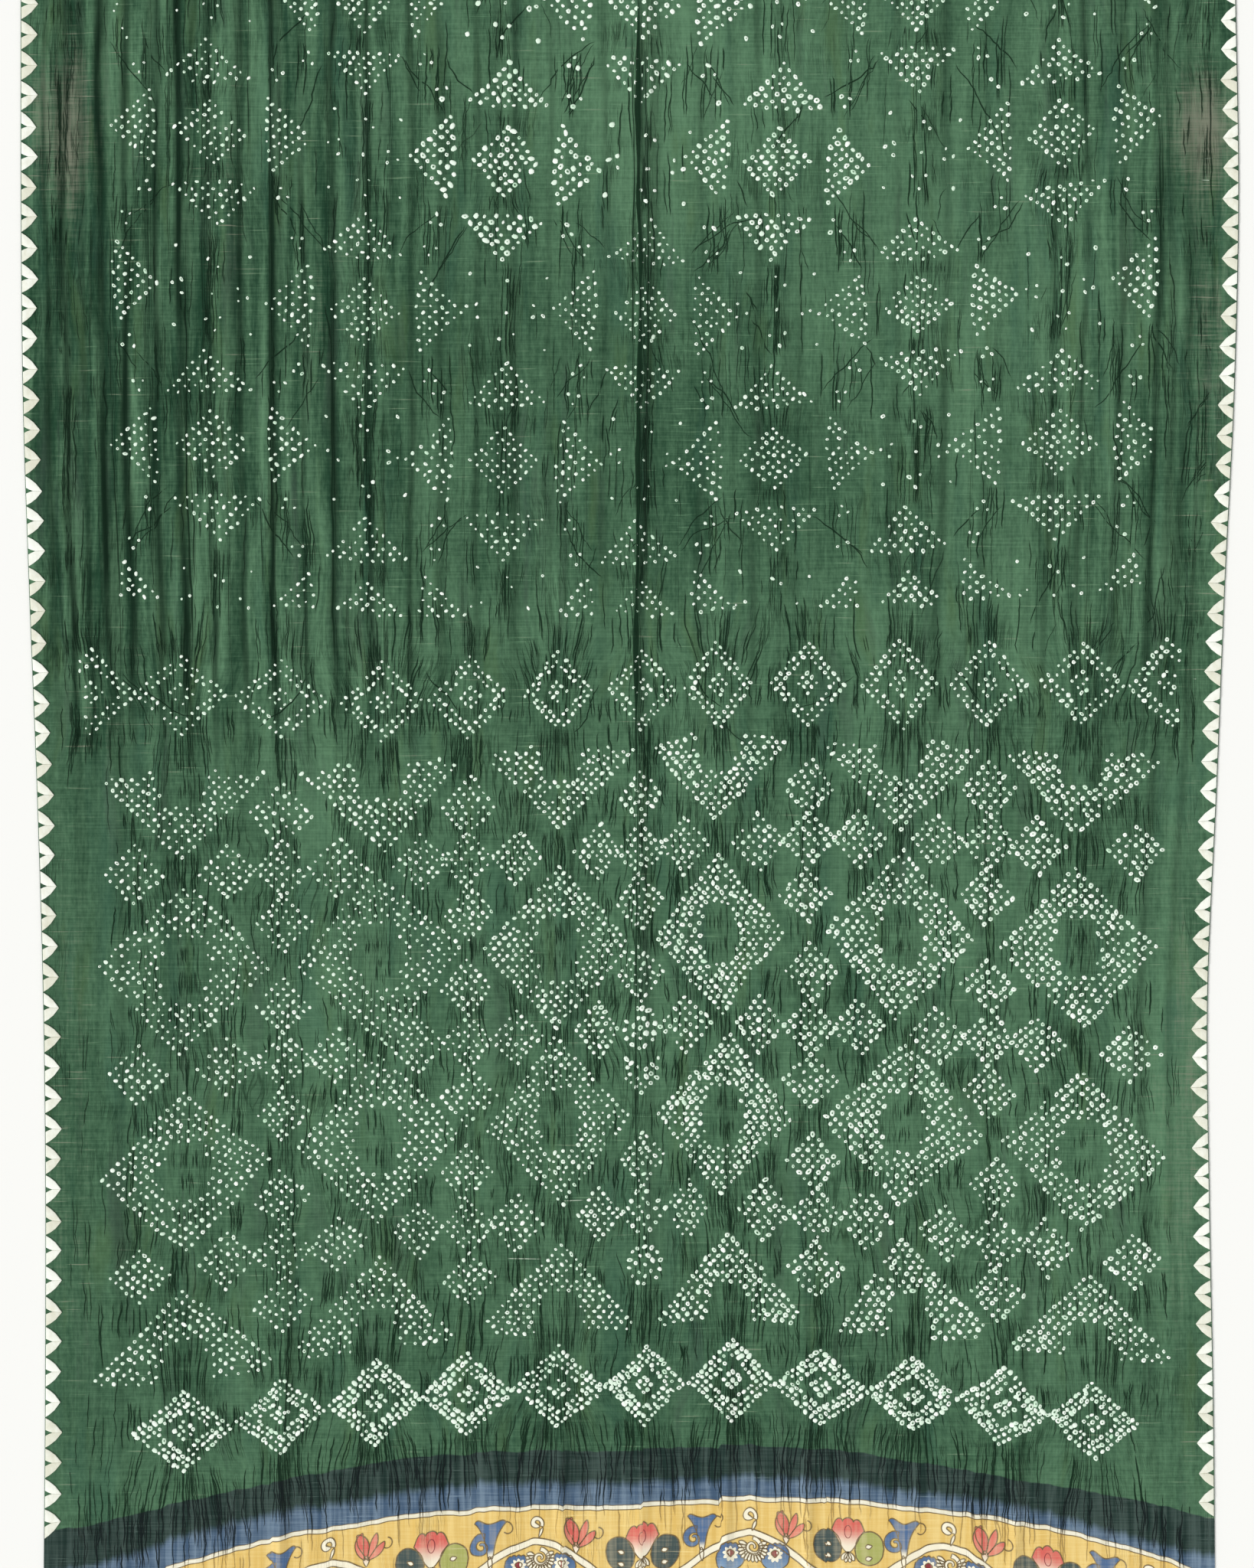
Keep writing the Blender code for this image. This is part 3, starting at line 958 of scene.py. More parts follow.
def clothMaterial():
    material, tree, shader = newMaterial("dyedCotton", 0.86, sheen=0.03, specular=0.07)
    place = newNode(tree, "ShaderNodeTexCoord").outputs["Object"]
    values = {}
    names = "pucker pleats stripe fade faded darkLine blueLine ochreLine crease painted"
    for name in names.split():
        values[name] = attributeNode(tree, name).outputs["Fac"]
    grain = attributeNode(tree, "grain").outputs["Vector"]
    crinkle = placeGroup(tree, groups["crinkle"], Grain=grain, Pucker=values["pucker"])
    weave = placeGroup(tree, groups["weave"], Place=place)
    lines = crinkle["Lines"]
    green = placeGroup(
        tree, groups["green"], Place=grain, Fade=values["fade"], Faded=values["faded"],
        Pucker=values["pucker"], Pleats=values["pleats"], Stripe=values["stripe"],
        Streak=weave["Streak"], Lines=lines,
    )["Color"]
    # bands of the painted end, the dark one bleeding into the blue along the threads
    fringe = noiseNode(tree, grain, 230.0, 9.0, 31.0, detail=3.0)
    edge = minus(tree, noiseNode(tree, place, 90.0, 90.0, 8.0, detail=2.0), 0.5)
    tone = scaledAdd(tree, centred(tree, weave["Streak"]), 0.9, fringe)
    slate = mixNode(tree, rampNode(tree, tone, 0.25, 0.8), rgb(28, 47, 42), rgb(69, 86, 80))
    blue = mixNode(tree, rampNode(tree, tone, 0.25, 0.8), rgb(66, 88, 112), rgb(118, 138, 156))
    cream = mixNode(tree, rampNode(tree, tone, 0.2, 0.8), rgb(226, 220, 192), rgb(244, 240, 220))
    ochre = mixNode(tree, rampNode(tree, tone, 0.2, 0.85), rgb(222, 186, 104), rgb(241, 213, 140))
    outline = rgb(116, 98, 70)
    dark = scaledAdd(tree, edge, 0.0018, values["darkLine"])
    blueStart = scaledAdd(tree, centred(tree, fringe), 0.011, values["blueLine"])
    ochreStart = scaledAdd(tree, edge, 0.0012, values["ochreLine"])
    onBands = rampNode(tree, dark, -0.0006, 0.0008)
    colour = mixNode(tree, onBands, green, slate)
    colour = mixNode(tree, rampNode(tree, blueStart, -0.0050, 0.0045), colour, blue)
    colour = mixNode(tree, rampNode(tree, ochreStart, -0.0043, -0.0038), colour, outline)
    colour = mixNode(tree, rampNode(tree, ochreStart, -0.0037, -0.0032), colour, cream)
    colour = mixNode(tree, rampNode(tree, ochreStart, -0.0006, -0.0001), colour, outline)
    colour = mixNode(tree, rampNode(tree, ochreStart, 0.0002, 0.0007), colour, ochre)
    # brushed colours of the flowers, thinner in places
    brushed = attributeNode(tree, "paint").outputs["Color"]
    thin = rampNode(tree, tone, 0.35, 0.85, 0.0, 0.28)
    brushed = mixNode(tree, thin, brushed, rgb(240, 226, 188))
    colour = mixNode(tree, values["painted"], colour, brushed)
    # painted shade of the folds and creases, and pale woven threads
    onOchre = rampNode(tree, ochreStart, -0.004, 0.0)
    # painted shade of the folds and fine creases, over the painted bands only
    fold = times(tree, mathNode(tree, "MAXIMUM", values["stripe"], lines), onBands)
    depth = scaledAdd(tree, onOchre, -0.36, 0.62)
    colour = mixNode(tree, times(tree, fold, depth), colour, rgb(40, 44, 40))
    shadow = mixNode(tree, onBands, rgb(9, 36, 20), rgb(14, 24, 25))
    shadow = mixNode(tree, onOchre, shadow, rgb(120, 92, 54))
    # painted shadow of the crease lines, lighter on the ochre
    creased = rampNode(tree, values["crease"], 0.08, 0.62)
    creased = times(tree, creased, scaledAdd(tree, onOchre, -0.35, 0.94))
    colour = mixNode(tree, creased, colour, shadow)
    paleThread = rampNode(tree, values["crease"], -0.2, -0.7)
    colour = mixNode(tree, paleThread, colour, rgb(186, 202, 182))
    tree.links.new(colour, shader.inputs["Base Color"])
    relief = minus(tree, crinkle["Height"], creased)
    normal = bumpNode(tree, relief, 0.7, 0.0011)
    normal = bumpNode(tree, weave["Height"], 0.25, 0.0002, normal)
    tree.links.new(normal, shader.inputs["Normal"])
    return material


def buildCloth(material):
    columns = sheet["columns"]
    rows = sheet["rows"]
    bm = bmesh.new()
    bmesh.ops.create_grid(bm, x_segments=columns, y_segments=rows, size=0.5)
    lifted = bmesh.ops.extrude_face_region(bm, geom=list(bm.faces))["geom"]
    faceVerts = [item for item in lifted if isinstance(item, bmesh.types.BMVert)]
    bmesh.ops.translate(bm, verts=faceVerts, vec=(0.0, 0.0, 1.0))
    bmesh.ops.recalc_face_normals(bm, faces=bm.faces)
    mesh = bpy.data.meshes.new("clothSheet")
    bm.to_mesh(mesh)
    bm.free()
    points = meshPoints(mesh)
    onFace = points[:, 2] > 0.5
    along = points[:, 1] * 2.0 * halfLength
    across = acrossAt(points[:, 0] + 0.5, along)
    top = laidTop(across, along)
    rise = np.where(onFace, top, top - sheet["thickness"])
    mesh.vertices.foreach_set("co", np.stack([across, along, rise], axis=1).ravel())
    writeDyeAndShade(mesh, across, along)
    mesh.shade_smooth()
    mesh.set_sharp_from_angle(angle=math.radians(50.0))
    piece = addPiece("clothSheet", mesh, material)
    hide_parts("cloth")
    return piece


# Creases that the tying left, laid as painted shade: short dark lines along the cloth, bunched above and
# below the motifs
creases = {
    "step": 0.0045,  # metres between a crease's points
    "narrowest": 0.26,  # mm, half width
    "widest": 0.85,
    "lift": 0.00012,
    "pleatLift": 0.00030,
    "centreLift": 0.00062,
    "background": 1600,
    "bands": 300,
    "twins": 0.22,  # how many have a second one close by
    "sway": 0.36,
    "bend": 0.02,
    "wiggle": 0.15,
    "spread": 4.0,  # degrees from the cloth's length, and how much more in the open upper part
    "openSpread": 7.0,
    "edgeGap": 0.020,  # metres left free at the long edges and at the ends
    "endGap": 0.010,
}
# kind: bunches by start from the motif's centre (across, along), spread, count, shortest, longest, in mm
creaseRules = {
    "fourPointed": [
        (0, 25, 13, 6, 10, 26),
        (0, 82, 9, 6, 20, 75),
        (50, 34, 8, 4, 18, 66),
        (0, 50, 20, 5, 8, 26),
    ],
    "sparse": [(0, 22, 22, 2, 18, 60), (0, -2, 24, 1, 14, 40)],
    "frameHigh": [(0, 28, 18, 12, 12, 52), (0, 4, 20, 7, 6, 20)],
    "frameLow": [(0, 28, 20, 15, 16, 70), (0, 2, 22, 6, 6, 18)],
    "wreath": [
        (0, 3, 9, 8, 9, 19),
        (0, 60, 14, 9, 12, 42),
        (38, 26, 11, 7, 10, 34),
        (0, 30, 24, 7, 8, 26),
    ],
    "small": [(0, 17, 14, 4, 8, 34), (0, 2, 15, 2, 6, 18)],
}
# across, along, length and turn in m and degrees, where a thick pale thread was woven in
paleThreads = [
    (-0.1010, -0.3840, 0.031, 91.0),
    (-0.0570, -0.3375, 0.021, 88.0),
    (0.4540, 0.0850, 0.022, 90.0),
    (0.4630, 0.5060, 0.050, 86.0),
    (0.4600, 0.4890, 0.045, 92.0),
]
# Long pleats, drawn as painted shade lines: place across, lower and upper end in m, half width in mm,
# darkness
centrePleatShades = [
    (0.508, -0.04, 0.668, 2.5, 1.80),
    (0.508, -0.38, 0.02, 1.1, 0.80),
    (0.503, 0.28, 0.62, 0.9, 0.80),
    (0.515, 0.16, 0.66, 1.0, 0.80),
]
mainPleatShades = [
    (0.075, 0.03, 0.50, 1.5, 0.50),
    (0.105, 0.14, 0.66, 1.3, 0.45),
    (0.135, 0.08, 0.44, 1.7, 0.70),
    (0.150, 0.30, 0.66, 1.3, 0.45),
    (0.205, 0.16, 0.66, 1.3, 0.75),
    (0.255, 0.05, 0.40, 1.6, 0.60),
    (0.285, 0.25, 0.60, 1.4, 0.60),
    (0.935, 0.00, 0.66, 1.5, 0.55),
]
# Shorter ones between them: first and last place, how many, darkness
thinPleatShades = [(0.03, 0.32, 30, 0.46), (0.32, 0.49, 9, 0.30), (0.53, 0.82, 10, 0.26), (0.84, 0.98, 14, 0.36)]


def addCrease(found, random, across, along, way, shortest, longest, darkest=1.0):
    # across, along, heading from the cloth's length, length in mm, half width in mm, darkness
    length = random.uniform(shortest, longest)
    freely = float(smoothStep((along - 0.06) / 0.10) * smoothStep((placeOf(across, along) - 0.24) / 0.16))
    spread = creases["spread"] + creases["openSpread"] * freely
    heading = math.radians(random.normal(0.0, spread)) + (0.0 if way > 0 else math.pi)
    half = random.uniform(creases["narrowest"], creases["widest"]) * min(1.0, 0.55 + length / 60.0)
    found.append((across, along, heading, length, half, darkest * random.uniform(0.55, 1.50)))
    if random.uniform() < creases["twins"]:
        beside = random.choice([-1.0, 1.0]) * random.uniform(1.5, 3.2) * millimetre
        length = length * random.uniform(0.6, 1.0)
        found.append((across + beside, along, heading, length, half * 0.8, darkest))


def addCornerCreases(found, random, centreX, centreY):
    # long slanting ones from one corner of a four-pointed motif to the next
    for side in (-1, 1):
        for way in (-1, 1):
            startX = centreX + side * random.uniform(26.0, 52.0) * millimetre
            startY = centreY + way * random.uniform(44.0, 56.0) * millimetre
            lean = math.radians(random.normal(38.0, 5.0)) * side
            for number in range(random.choice([1, 1, 2])):
                heading = lean + random.normal(0.0, 0.04)
                heading = heading if way > 0 else math.pi - heading
                across = startX + number * random.uniform(1.8, 3.6) * millimetre
                along = startY - number * side * random.uniform(-2.0, 4.0) * millimetre
                length = random.uniform(30.0, 72.0)
                half = random.uniform(0.40, 0.70)
                found.append((across, along, heading, length, half, random.uniform(0.9, 1.4)))


def creaseStarts():
    random = np.random.default_rng(17)
    found = []
    for motif in motifList:
        kind = motif[0] if motif[0] in creaseRules else "small"
        centreX, centreY = motifCentre(motif)
        for offX, offY, spread, count, shortest, longest in creaseRules[kind]:
            for side in (-1, 1) if offX else (1,):
                for way in (-1, 1):
                    for _ in range(count):
                        across = centreX + (side * offX + random.normal(0.0, 0.6) * spread) * millimetre
                        along = centreY + (way * offY + random.uniform(-3.0, 5.0) * way) * millimetre
                        addCrease(found, random, across, along, way, shortest, longest)
        if kind == "fourPointed":
            addCornerCreases(found, random, centreX, centreY)
    for _ in range(creases["background"]):
        across = random.uniform(-0.47, 0.47)
        along = random.uniform(-0.66, 0.66)
        if softNoise(across, along, 0.030, 0.055, 61) > -0.15:
            addCrease(found, random, across, along, random.choice([-1, 1]), 14.0, 62.0, 0.8)
    for _ in range(creases["bands"]):
        across = random.uniform(-0.465, 0.465)
        along = float(bandLine(across, 1)) + random.uniform(-0.022, 0.034)
        addCrease(found, random, across, along, -1, 20.0, 62.0)
    for across, along, length, turn in paleThreads:
        found.append((across, along, math.radians(turn), length / millimetre, 0.55, -0.9))
    return np.array(found)


def layRibbons(name, material, lift, across, along, half, dark, inUse):
    # a row for each crease: its points, half widths, how dark its middle is, and which steps it has
    tangentX = np.gradient(across, axis=1)
    tangentY = np.gradient(along, axis=1)
    size = np.maximum(np.hypot(tangentX, tangentY), 1e-9)
    sides = np.array([-1.0, 0.0, 1.0])
    pointX = across[:, :, None] + sides * (half * tangentY / size)[:, :, None]
    pointY = along[:, :, None] - sides * (half * tangentX / size)[:, :, None]
    shade = np.zeros_like(pointX)
    shade[:, :, 1] = dark
    left, right = edgesAt(along)
    inside = np.minimum(across - left, right - across) > creases["edgeGap"]
    inside &= np.abs(along) < halfLength - creases["endGap"]
    inUse = inUse & inside[:, :-1] & inside[:, 1:]
    first = np.arange(pointX.size).reshape(pointX.shape)
    quads = []
    for column in (0, 1):
        here = first[:, :, column]
        beside = first[:, :, column + 1]
        quad = [here[:, :-1], here[:, 1:], beside[:, 1:], beside[:, :-1]]
        quads.append(np.stack(quad, axis=2)[inUse])
    used, quads = np.unique(np.concatenate(quads), return_inverse=True)
    flatX = pointX.ravel()[used]
    flatY = pointY.ravel()[used]
    shade = shade.ravel()[used]
    rise = laidTop(flatX, flatY) + lift + 0.00004 * np.abs(shade)
    mesh = bpy.data.meshes.new(name)
    corners = np.stack([flatX, flatY, rise], axis=1)
    mesh.from_pydata(corners.tolist(), [], quads.reshape(-1, 4)[:, ::-1].tolist())
    writeDyeAndShade(mesh, flatX, flatY)
    # crease: painted shade of the crease lines, below zero pale woven threads
    setPointValues(mesh, "crease", shade)
    mesh.shade_smooth()
    addPiece(name, mesh, material)
    return len(across)


def buildCreases(material):
    starts = creaseStarts()
    random = np.random.default_rng(23)
    upper = starts[:, 1] > 0.02
    total = 0
    for name, rows in (("creaseShadesAndThreadsUpper", starts[upper]), ("creaseShadesAndThreadsLower", starts[~upper])):
        count = len(rows)
        steps = np.maximum(np.ceil(rows[:, 3] * millimetre / creases["step"]).astype(int), 3)
        longest = int(steps.max())
        across = np.zeros((count, longest + 1))
        along = np.zeros((count, longest + 1))
        across[:, 0] = rows[:, 0]
        along[:, 0] = rows[:, 1]
        stride = rows[:, 3] * millimetre / steps
        start = grainAt(across[:, 0], along[:, 0])[0]
        upright = np.abs(np.sin(rows[:, 2])) < 0.3
        woven = rows[:, 5] < 0.0
        bend = np.where(woven, 0.0, random.normal(0.0, creases["bend"], count))
        for number in range(longest):
            sway = creases["sway"] * softNoise(across[:, number], along[:, number], 0.008, 0.012, 71)
            sway = sway + random.normal(0.0, creases["wiggle"], count)
            heading = rows[:, 2] + bend * number + np.where(woven, 0.0, sway)
            across[:, number + 1] = across[:, number] + np.sin(heading) * stride
            along[:, number + 1] = along[:, number] + np.cos(heading) * stride
            pull = grainAt(across[:, number + 1], along[:, number + 1])[0]
            across[:, number + 1] += np.where(upright, 0.5 * (start - pull), 0.0)
        share = np.arange(longest + 1)[None, :] / steps[:, None]
        taper = np.sqrt(np.clip(4.0 * share * (1.0 - share), 0.0, 1.0))
        half = rows[:, 4, None] * millimetre * (0.15 + 0.85 * taper) * random.uniform(0.8, 1.2, share.shape)
        dark = rows[:, 5, None] * np.clip(taper * 1.6, 0.0, 1.0)
        total += layRibbons(name, material, creases["lift"], across, along, half, dark, share[:, :-1] < 0.999)
    return total


def buildPleatShades(material):
    # painted shade lines along long thin pleats, most of them near the two long edges of the upper half
    random = np.random.default_rng(37)
    rows = centrePleatShades + mainPleatShades
    for first, last, count, darkness in thinPleatShades:
        for number in range(count):
            place = first + (last - first) * (number + random.uniform(0.1, 0.9)) / count
            low = random.uniform(-0.05, 0.50)
            high = low + random.uniform(0.07, 0.32)
            rows.append((place, low, high, random.uniform(0.6, 1.4), darkness * random.uniform(0.6, 1.4)))
    place, low, high, halfWidth, darkness = np.array(rows).T[:, :, None]
    share = np.linspace(0.0, 1.0, 91)[None, :]
    along = low + (high - low) * share
    number = np.arange(len(rows))[:, None] + 0.0 * share
    wander = 0.0014 * softNoise(number * 1.3, along, 1.0, 0.07, 32)
    wander = wander + 0.0006 * softNoise(number * 0.7, along, 1.0, 0.014, 36)
    taper = np.clip(6.0 * np.minimum(share, 1.0 - share), 0.0, 1.0)
    uneven = 0.9 + 0.45 * softNoise(number * 0.9, along, 1.0, 0.03, 33)
    half = halfWidth * millimetre * uneven * (0.3 + 0.7 * taper)
    dark = darkness * (0.85 + 0.5 * softNoise(number * 1.1, along, 1.0, 0.05, 35)) * taper
    inUse = np.ones((len(rows), share.shape[1] - 1), dtype=bool)
    across = acrossAt(place, along) + wander
    count = len(rows)
    centre = np.arange(count) < len(centrePleatShades)
    for name, lift, part in (("centrePleatShades", "centreLift", centre), ("longPleatShades", "pleatLift", ~centre)):
        rows = [values[part] for values in (across, along, half, dark, inUse)]
        layRibbons(name, material, creases[lift], *rows)
    return count


# The painted end: a cream vine with flowers of the usual kinds, drawn by rule, in mm from a flower's middle
painting = {
    "archCentres": (-0.4140, -0.2454, -0.0761, 0.0962, 0.2568, 0.4199),
    "vineTop": 26.0,  # mm under the ochre's edge
    "vineFall": 39.0,
    "vineHalf": 2.7,
    "outlineHalf": 0.42,
    "levels": {"vine": 0.16, "leaf": 0.22, "flower": 0.28, "detail": 0.33, "outline": 0.38},
}
paintColours = {
    "cream": rgb(246, 240, 216),
    "red": rgb(216, 104, 94),
    "pink": rgb(230, 140, 120),
    "blue": rgb(84, 112, 150),
    "paleBlue": rgb(126, 154, 182),
    "charcoal": rgb(72, 86, 84),
    "olive": rgb(170, 174, 100),
    "maroon": rgb(140, 60, 66),
    "brown": rgb(114, 96, 68),
}
# kind, place in the repeat, drop under the ochre's edge in mm, mirrored
paintedItems = [
    ("leaf", -0.603, 36.0, 1),
    ("leaf", -0.392, 36.0, -1),
    ("budFlower", -0.500, 25.0, 1),
    ("wheel", 0.020, 39.0, 1),
    ("bell", -0.235, 23.5, 1),
    ("sprayFlower", 0.200, 19.0, 1),
    ("tendril", 0.000, 12.0, 1),
]


def sidesOf(path, half):
    ahead = np.gradient(path[:, :2], axis=0)
    ahead /= np.maximum(np.linalg.norm(ahead, axis=1, keepdims=True), 1e-9)
    normal = np.stack([-ahead[:, 1], ahead[:, 0]], axis=1) * np.reshape(half, (-1, 1))
    return path[:, :2] + normal, path[:, :2] - normal


def layGrid(canvas, grid, level, paint):
    # grid: rows by columns of points in mm round the canvas's present spot
    middle, drop, size, mirror = canvas["spot"]
    rows, columns = grid.shape[:2]
    across = middle + mirror * size * grid[:, :, 0] * millimetre
    along = bandLine(across, 3) + (size * grid[:, :, 1] - drop) * millimetre
    number = np.arange(rows * columns).reshape(rows, columns) + canvas["count"]
    quads = np.stack([number[:-1, :-1], number[:-1, 1:], number[1:, 1:], number[1:, :-1]], axis=2)
    canvas["points"].append(np.stack([across, along], axis=2).reshape(-1, 2))
    canvas["levels"].append(np.full(rows * columns, painting["levels"][level] * millimetre))
    canvas["paints"].append(np.broadcast_to(paint, (rows, columns, 4)).reshape(-1, 4))
    canvas["quads"].append(quads.reshape(-1, 4))
    canvas["count"] += rows * columns


def drawOutline(canvas, around, colour="brown", half=None):
    around = np.concatenate([around[-1:], around, around[:1]])
    left, right = sidesOf(around, half or painting["outlineHalf"])
    layGrid(canvas, np.stack([left[1:], right[1:]]), "outline", paintColours[colour])


def blend(first, second, share):
    return np.array(paintColours[first]) * (1.0 - share) + np.array(paintColours[second]) * share


def brushLine(canvas, path, level, colour, endColour=None, outlined=True):
    # path: across, up, half width
    left, right = sidesOf(path, path[:, 2])
    share = np.linspace(0.0, 1.0, len(path))[None, :, None] ** 2
    grid = np.stack([left, 0.5 * (left + right), right])
    layGrid(canvas, grid, level, blend(colour, endColour or colour, share))
    if outlined:
        drawOutline(canvas, np.concatenate([left, right[::-1]]))


def brushBlob(canvas, across, top, bottom, level, colour, lowColour=None, rows=7):
    # filled between two heights over the same places, which meet at both ends
    rise = np.linspace(0.0, 1.0, rows)[:, None]
    up = bottom[None] * (1.0 - rise) + top[None] * rise
    tone = smoothStep((up - up.min()) / (up.max() - up.min()) * 1.5 - 0.1)[:, :, None]
    wide = np.broadcast_to(across, up.shape)
    layGrid(canvas, np.stack([wide, up], axis=2), level, blend(lowColour or colour, colour, tone))
    around = np.stack([np.concatenate([across, across[::-1]]), np.concatenate([bottom, top[::-1]])], axis=1)
    drawOutline(canvas, around)


def petalPath(foot, turn, length, half, bend=0.0, count=14):
    # a petal or bud: from its foot along a bending line, widest past the middle
    share = np.linspace(0.0, 1.0, count)
    way = math.radians(turn) + bend * share
    step = length / (count - 1)
    across = foot[0] + np.cumsum(np.sin(way)) * step
    up = foot[1] + np.cumsum(np.cos(way)) * step
    return np.stack([across, up, 0.3 + half * np.sin(math.pi * share ** 1.3) ** 0.8], axis=1)


def spiralPath(middle, turn, turns, outer, inner, wide, narrow, count=26):
    share = np.linspace(0.0, 1.0, count)
    radius = outer + (inner - outer) * share
    way = math.radians(turn) + 2.0 * math.pi * turns * share
    across = middle[0] + radius * np.cos(way)
    return np.stack([across, middle[1] + radius * np.sin(way), wide + (narrow - wide) * share], axis=1)


def paintBudFlower(canvas):
    # a fan of five rounded lobes over a fringed cream foot
    for turn in (-34.0, -12.0, 12.0, 34.0):
        brushLine(canvas, petalPath((0.0, -15.0), 180.0 + turn, 9.0, 1.7), "detail", "cream")
    share = np.linspace(-1.0, 1.0, 61)
    lobes = np.sqrt(np.abs(np.cos(1.5 * math.pi * share)))
    top = 2.0 + (np.sqrt(1.0 - share ** 2) * 8.0 + 3.4 * lobes) * (1.0 - share ** 8)
    bottom = 2.0 - 18.0 * np.cos(0.5 * math.pi * share) ** 1.4
    brushBlob(canvas, 14.0 * share, top, bottom, "flower", "red", "cream")
    ring = spiralPath((0.0, 1.0), 0.0, 1.0, 3.6, 3.6, 0.0, 0.0)[:-1, :2] * np.array([0.8, 1.5])
    drawOutline(canvas, ring, "maroon", 0.3)


def paintLeaf(canvas, colour="charcoal"):
    share = np.linspace(-1.0, 1.0, 25)
    bulge = np.sqrt(1.0 - share ** 2)
    half = 14.0 * bulge ** 0.9
    brushBlob(canvas, 12.0 * share, half - 2.0 * share, -half - 2.0 * share, "leaf", colour)
    for up in (1.5, -8.5):
        brushLine(canvas, petalPath((-2.6, up + 1.2), 112.0, 5.6, 1.5), "flower", "cream")


def paintBell(canvas):
    # a two-horned bell on a stem, with a curl at its side
    brushLine(canvas, petalPath((3.2, -26.0), -4.0, 12.0, 1.5), "flower", "cream")
    down = np.linspace(0.0, 1.0, 16)[:, None]
    share = np.linspace(-1.0, 1.0, 21)[None, :]
    half = 3.4 + 9.6 * (1.0 - down) ** 3 - 1.6 * down ** 4
    brim = (7.0 * np.abs(share) ** 1.6 - 5.0 * share ** 6) * (1.0 - down) ** 3
    grid = np.stack([3.0 + half * share, 13.5 - 28.5 * down + brim + 0.0 * share], axis=2)
    layGrid(canvas, grid, "flower", blend("blue", "cream", smoothStep((down - 0.72) / 0.22)[:, :, None]))
    drawOutline(canvas, np.concatenate([grid[0], grid[1:, -1], grid[-1, ::-1], grid[:0:-1, 0]]))
    brushLine(canvas, spiralPath((-4.6, -4.6), 70.0, 1.15, 8.4, 1.6, 3.2, 0.8), "detail", "blue", "paleBlue")
    curl = spiralPath((16.4, 10.0), 95.0, -0.62, 6.0, 3.4, 0.4, 0.4)
    brushLine(canvas, curl, "outline", "brown", outlined=False)


def paintSprayFlower(canvas):
    # petals of one form round a foot, the outer one bent back
    petals = [
        (62.0, 20.0, 2.9, -0.5, "pink"),
        (30.0, 23.0, 2.7, -0.3, "pink"),
        (-42.0, 25.0, 3.4, 1.2, "pink"),
        (2.0, 24.0, 4.2, -0.7, "red"),
    ]
    for turn, length, half, bend, last in petals:
        brushLine(canvas, petalPath((-2.0, -11.0), turn, length, half, bend), "flower", last, "red")
    brushLine(canvas, petalPath((-2.0, -16.0), 0.0, 9.0, 2.3), "detail", "cream", "pink")
    curl = spiralPath((15.6, 1.2), 80.0, -0.6, 5.4, 3.6, 0.4, 0.4)
    brushLine(canvas, curl, "outline", "brown", outlined=False)


def paintTendril(canvas):
    brushLine(canvas, petalPath((2.6, -12.5), 20.0, 9.0, 0.9), "detail", "cream")
    brushLine(canvas, spiralPath((0.6, 0.6), -30.0, 0.95, 5.4, 1.6, 1.4, 2.4), "detail", "cream")


def paintWheel(canvas):
    # a cream curl in a ring of small lobes, between two broad petals with dark eyes
    share = np.linspace(-1.0, 1.0, 25)
    for side in (-1, 1):
        middle = side * 19.0
        bulge = (1.0 - share ** 2) ** 0.42
        wave = 1.0 + 0.06 * np.cos(6.0 * math.pi * share)
        top = 10.5 * bulge * wave - 6.0
        brushBlob(canvas, middle + 12.5 * share, top, -12.5 * bulge - 6.0, "leaf", "blue", "paleBlue")
        for number in range(9):
            petal = petalPath((middle, -5.0), 40.0 * number, 6.4, 1.3)
            brushLine(canvas, petal, "flower", "cream", outlined=False)
        brushLine(canvas, petalPath((middle, -8.0), 0.0, 6.4, 2.9), "detail", "maroon")
    for number in range(15):
        turn = 155.0 + 230.0 * number / 14.0
        foot = (5.0 * math.cos(math.radians(turn)), 5.0 * math.sin(math.radians(turn)))
        brushLine(canvas, petalPath(foot, 90.0 - turn, 7.4, 1.4), "flower", "cream")
    brushLine(canvas, spiralPath((0.0, 0.0), 88.0, -1.35, 8.0, 1.2, 1.9, 0.7), "detail", "cream")


painters = {
    "budFlower": paintBudFlower,
    "leaf": paintLeaf,
    "bell": paintBell,
    "sprayFlower": paintSprayFlower,
    "tendril": paintTendril,
    "wheel": paintWheel,
}


